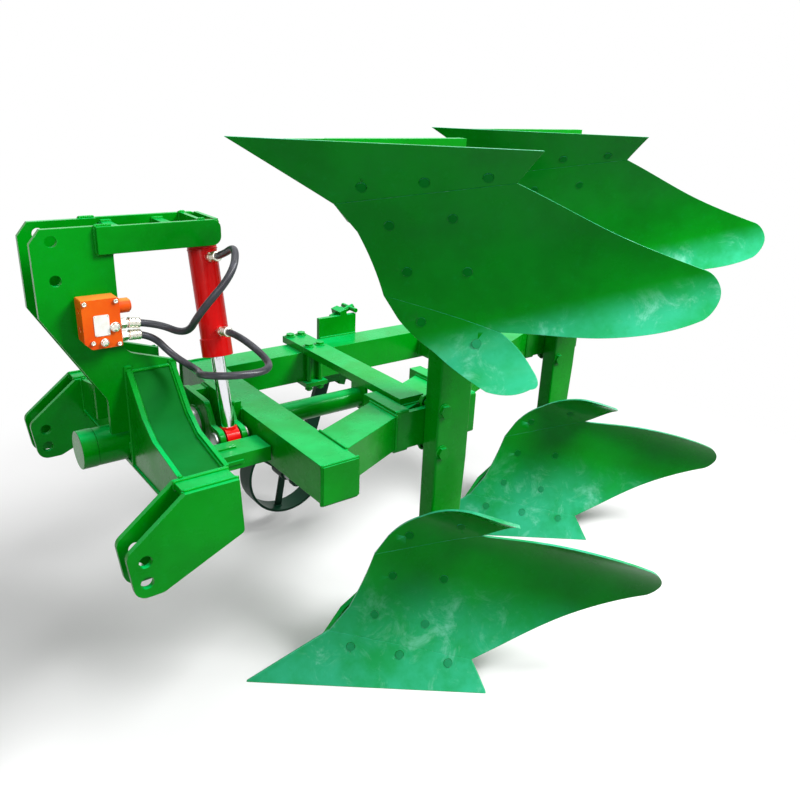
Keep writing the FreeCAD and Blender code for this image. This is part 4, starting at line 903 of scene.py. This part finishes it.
def rounded_plate(bm, low, high, corner):
    """A thin plate that lies along the x and z axes, with rounded corners."""
    left, right = low.x + corner, high.x - corner
    bottom, top = low.z + corner, high.z - corner
    outline = []
    for quarter, (x, z) in enumerate(((right, top), (left, top), (left, bottom), (right, bottom))):
        for k in range(CORNER_STEPS + 1):
            angle = (quarter + k / CORNER_STEPS) * pi / 2
            outline.append((x + corner * cos(angle), z + corner * sin(angle)))
    near = [bm.verts.new((x, low.y, z)) for x, z in outline]
    far = [bm.verts.new((x, high.y, z)) for x, z in outline]
    bm.faces.new(near)
    bm.faces.new(far[::-1])
    for k in range(len(outline)):
        bm.faces.new((near[k], near[(k + 1) % len(near)], far[(k + 1) % len(far)], far[k]))


def add_valve_label():
    """The label plate, with nothing on it, and the rivets in its corners."""
    bm = bmesh.new()
    rounded_plate(bm, on_valve(LABEL_LOW, LABEL_THICKNESS), on_valve(LABEL_HIGH), LABEL_CORNER)
    add_piece("valve_label", bm, materials["label_paint"], "headstock", smooth=False)
    rivets = [(on_valve((x, z), LABEL_THICKNESS), OUT_OF_VALVE)
              for x in (LABEL_LOW[0] + RIVET_INSET, LABEL_HIGH[0] - RIVET_INSET)
              for z in (LABEL_LOW[1] + RIVET_INSET, LABEL_HIGH[1] - RIVET_INSET)]
    add_turned("label_rivets", "plated_fittings", "headstock", rivets, RIVET_PROFILE, corners=12)


def add_bulge_cap():
    """The cap that closes the round bulge on the valve's side."""
    add_turned("valve_bulge_cap", "orange_paint", "headstock", [(at(*BULGE_END), (1, 0, 0))],
               BULGE_PROFILE, corners=32)


# Grease nipple of the bearing tube, and the weld that closes the barrel's cap

NIPPLE_PLACE = (0.225, 0, 0.7975)
NIPPLE_PROFILE = [(0.0, 0.0052), (0.004, 0.0052), (0.005, 0.0036), (0.009, 0.0036),
                  (0.010, 0.0026), (0.0115, 0.0024), (0.013, 0.0034), (0.0150, 0.0030),
                  (0.0162, 0.0014)]
BARREL_PIN = (0.316, 0, 1.270)
BARREL_WAY = (0, -0.125, -0.52)
CAP_WELD_START = 0.0472
CAP_WELD_STEP = 0.0012
CAP_WELD_STEPS = 5
CAP_WELD_RADIUS = 0.0358
CAP_WELD_RISE = 0.0018


def add_nipple():
    add_turned("bearing_nipples", "plated_fittings", "headstock", [(at(*NIPPLE_PLACE), (0, 0, 1))],
               NIPPLE_PROFILE)


def add_barrel_ring():
    """The rounded weld around the barrel, placed along it from its upper pin."""
    profile = []
    for k in range(CAP_WELD_STEPS + 1):
        rise = CAP_WELD_RISE * sin(pi * k / CAP_WELD_STEPS)
        profile.append((CAP_WELD_START + CAP_WELD_STEP * k, CAP_WELD_RADIUS + rise))
    add_turned("barrel_cap_weld", "red_paint", "cylinder_barrel", [(at(*BARREL_PIN), BARREL_WAY)],
               profile, corners=48)


# Floor, backdrop and lights. The floor turns pure white away from the object and its shadow

WHITE = (1.0, 1.0, 1.0)
WHITE_RADIUS = 2.4
WHITE_STARTS_SHARE = 0.62
FLOOR_HALF_WIDTH = 9.0
FLOOR_SEGMENTS = 24
FLOOR_SEEN = (0.90, 0.90, 0.90)
FLOOR_LIT = (0.15, 0.15, 0.15)
FLOOR_ROUGHNESS = 0.9
FLOOR_SPECULAR = 0.1
FLOOR_GLOW = 0.16
WORLD_GLOW = 0.20
LAMPS = (
    ("key_light", (1.8, -2.5, 4.0), (0, 0, 0.7), 1.6, 290),
    ("top_light", (0.0, 0.3, 4.3), (0, 0, 0.6), 2.8, 70),
    ("fill_light", (-2.8, -1.8, 2.4), (0, 0, 0.7), 1.4, 36),
)


def floor_material():
    shader = Shader("floor")
    seen = shader.seen_directly()
    tone = shader.blend(seen, colour(*FLOOR_LIT), colour(*FLOOR_SEEN))
    shader.surface(Base_Color=tone, Roughness=FLOOR_ROUGHNESS, Specular_IOR_Level=FLOOR_SPECULAR)
    distance = shader.node("VectorMath", operation="LENGTH", Vector=shader.place()).outputs["Value"]
    away = shader.band(distance, WHITE_STARTS_SHARE * WHITE_RADIUS, WHITE_RADIUS)
    strength = shader.band(seen, 0.0, 1.0, least=FLOOR_GLOW)
    glow = shader.node("Emission", Color=colour(*WHITE), Strength=strength)
    mix = shader.node("MixShader")
    shader.put(mix.inputs[0], away)
    shader.put(mix.inputs[1], shader.bsdf.outputs["BSDF"])
    shader.put(mix.inputs[2], glow.outputs["Emission"])
    shader.put(shader.tree.nodes["Material Output"].inputs["Surface"], mix.outputs["Shader"])
    return shader.material


def add_floor():
    bm = bmesh.new()
    bmesh.ops.create_grid(bm, x_segments=FLOOR_SEGMENTS, y_segments=FLOOR_SEGMENTS,
                          size=FLOOR_HALF_WIDTH)
    floor = add_piece("floor", bm, floor_material(), None)


def add_world():
    """White where it is seen, and much dimmer as the light on the object."""
    world = bpy.data.worlds.new("studio")
    bpy.context.scene.world = world
    world.use_nodes = True
    work = NodeWork(world.node_tree)
    background = work.tree.nodes["Background"]
    work.put(background.inputs["Color"], colour(*WHITE))
    strength = work.band(work.seen_directly(), 0.0, 1.0, least=WORLD_GLOW)
    work.put(background.inputs["Strength"], strength)


def add_lamp(name, place, target, size, watts):
    data = bpy.data.lights.new(name, "AREA")
    data.size = size
    data.energy = watts
    lamp = bpy.data.objects.new(name, data)
    lamp.location = place
    lamp.rotation_euler = (Vector(target) - Vector(place)).to_track_quat("-Z", "Y").to_euler()
    bpy.context.scene.collection.objects.link(lamp)


def add_lights():
    add_world()
    for lamp in LAMPS:
        add_lamp(*lamp)


# CAD nodes: painted, with their sharp edges slightly rounded

EDGE_WIDTHS = {"standards": 0.003, "frogs": 0.003, "standard_brackets": 0.002,
               "trash_boards": 0.0024}
EDGE_WIDTH = 0.0016
EDGE_SEGMENTS = 2
EDGE_ANGLE = radians(35)
SMOOTH_ANGLE = radians(32)
FLAT_ANGLE = radians(0.3)
FACE_ENDINGS = ("share", "mouldboard", "trash_boards")
FINE_NODES = ("plough_bolts", "valve_fittings", "cylinder_ports", "piston_rod", "piston",
              "bearing_bushes")
# The side covers wear a darker green as painted shade
OWN_PAINTS = {"plough_bolts": "bolt_paint", "side_covers": "cover_paint"}


def cleaning_tree():
    """Joins the split corners of an imported mesh and shades it smooth up to its sharp edges."""
    tree = bpy.data.node_groups.new("join_and_smooth", "GeometryNodeTree")
    tree.interface.new_socket("Geometry", in_out="INPUT", socket_type="NodeSocketGeometry")
    tree.interface.new_socket("Geometry", in_out="OUTPUT", socket_type="NodeSocketGeometry")
    start = tree.nodes.new("NodeGroupInput")
    end = tree.nodes.new("NodeGroupOutput")
    drop = tree.nodes.new("GeometryNodeRemoveAttribute")
    drop.inputs["Name"].default_value = "custom_normal"
    join = tree.nodes.new("GeometryNodeMergeByDistance")
    join.inputs["Distance"].default_value = JOIN_DISTANCE
    angle = tree.nodes.new("GeometryNodeInputMeshEdgeAngle")
    flat = tree.nodes.new("FunctionNodeCompare")
    flat.operation = "LESS_THAN"
    flat.inputs["B"].default_value = SMOOTH_ANGLE
    faces = tree.nodes.new("GeometryNodeSetShadeSmooth")
    edges = tree.nodes.new("GeometryNodeSetShadeSmooth")
    edges.domain = "EDGE"
    for one, two in ((start.outputs[0], drop.inputs[0]), (drop.outputs[0], join.inputs[0]),
                     (join.outputs[0], faces.inputs[0]), (faces.outputs[0], edges.inputs[0]),
                     (angle.outputs["Unsigned Angle"], flat.inputs["A"]),
                     (flat.outputs[0], edges.inputs["Shade Smooth"]),
                     (edges.outputs[0], end.inputs[0])):
        tree.links.new(one, two)
    return tree


def join_flat_faces(node):
    """Takes out the lines across flat faces, so that they give the rounding a clean edge."""
    flat = node.modifiers.new("flat_faces", "DECIMATE")
    flat.decimate_type = "DISSOLVE"
    flat.angle_limit = FLAT_ANGLE


def round_edges(node):
    bevel = node.modifiers.new("edges", "BEVEL")
    bevel.width = EDGE_WIDTHS.get(node.name, EDGE_WIDTH)
    bevel.segments = EDGE_SEGMENTS
    bevel.limit_method = "ANGLE"
    bevel.angle_limit = EDGE_ANGLE
    bevel.harden_normals = True


def finish_node(node, material, tree):
    """Paints a node and rounds its edges, apart from nodes too fine or too hidden for that."""
    node.data.materials.clear()
    node.data.materials.append(material)
    node.modifiers.new("join_and_smooth", "NODES").node_group = tree
    if node.name not in FINE_NODES:
        if not node.name.endswith(FACE_ENDINGS):
            join_flat_faces(node)
        round_edges(node)


def node_material(name, slot):
    """Working faces get painted top light and highlight, bolts a darker green, covers painted shade.
    """
    if name.endswith(FACE_ENDINGS):
        return materials["rubbed_paint"]
    return materials[OWN_PAINTS.get(name, slot)]


def finish_nodes():
    tree = cleaning_tree()
    slots = {part["node"]: part["material_slot"] for part in frame["record"]["subparts"]}
    for name, node in nodes.items():
        finish_node(node, node_material(name, slots[name]), tree)


add_camera()
for hose_name, (hose_length, hose_route) in HOSE_ROUTES.items():
    add_hose(hose_name, hose_route)
add_welds()
add_washers()
add_valve_screws()
add_valve_plugs()
add_valve_label()
add_bulge_cap()
add_nipple()
add_barrel_ring()
add_floor()
add_lights()
bpy.context.scene.view_settings.view_transform = "Standard"
finish_nodes()
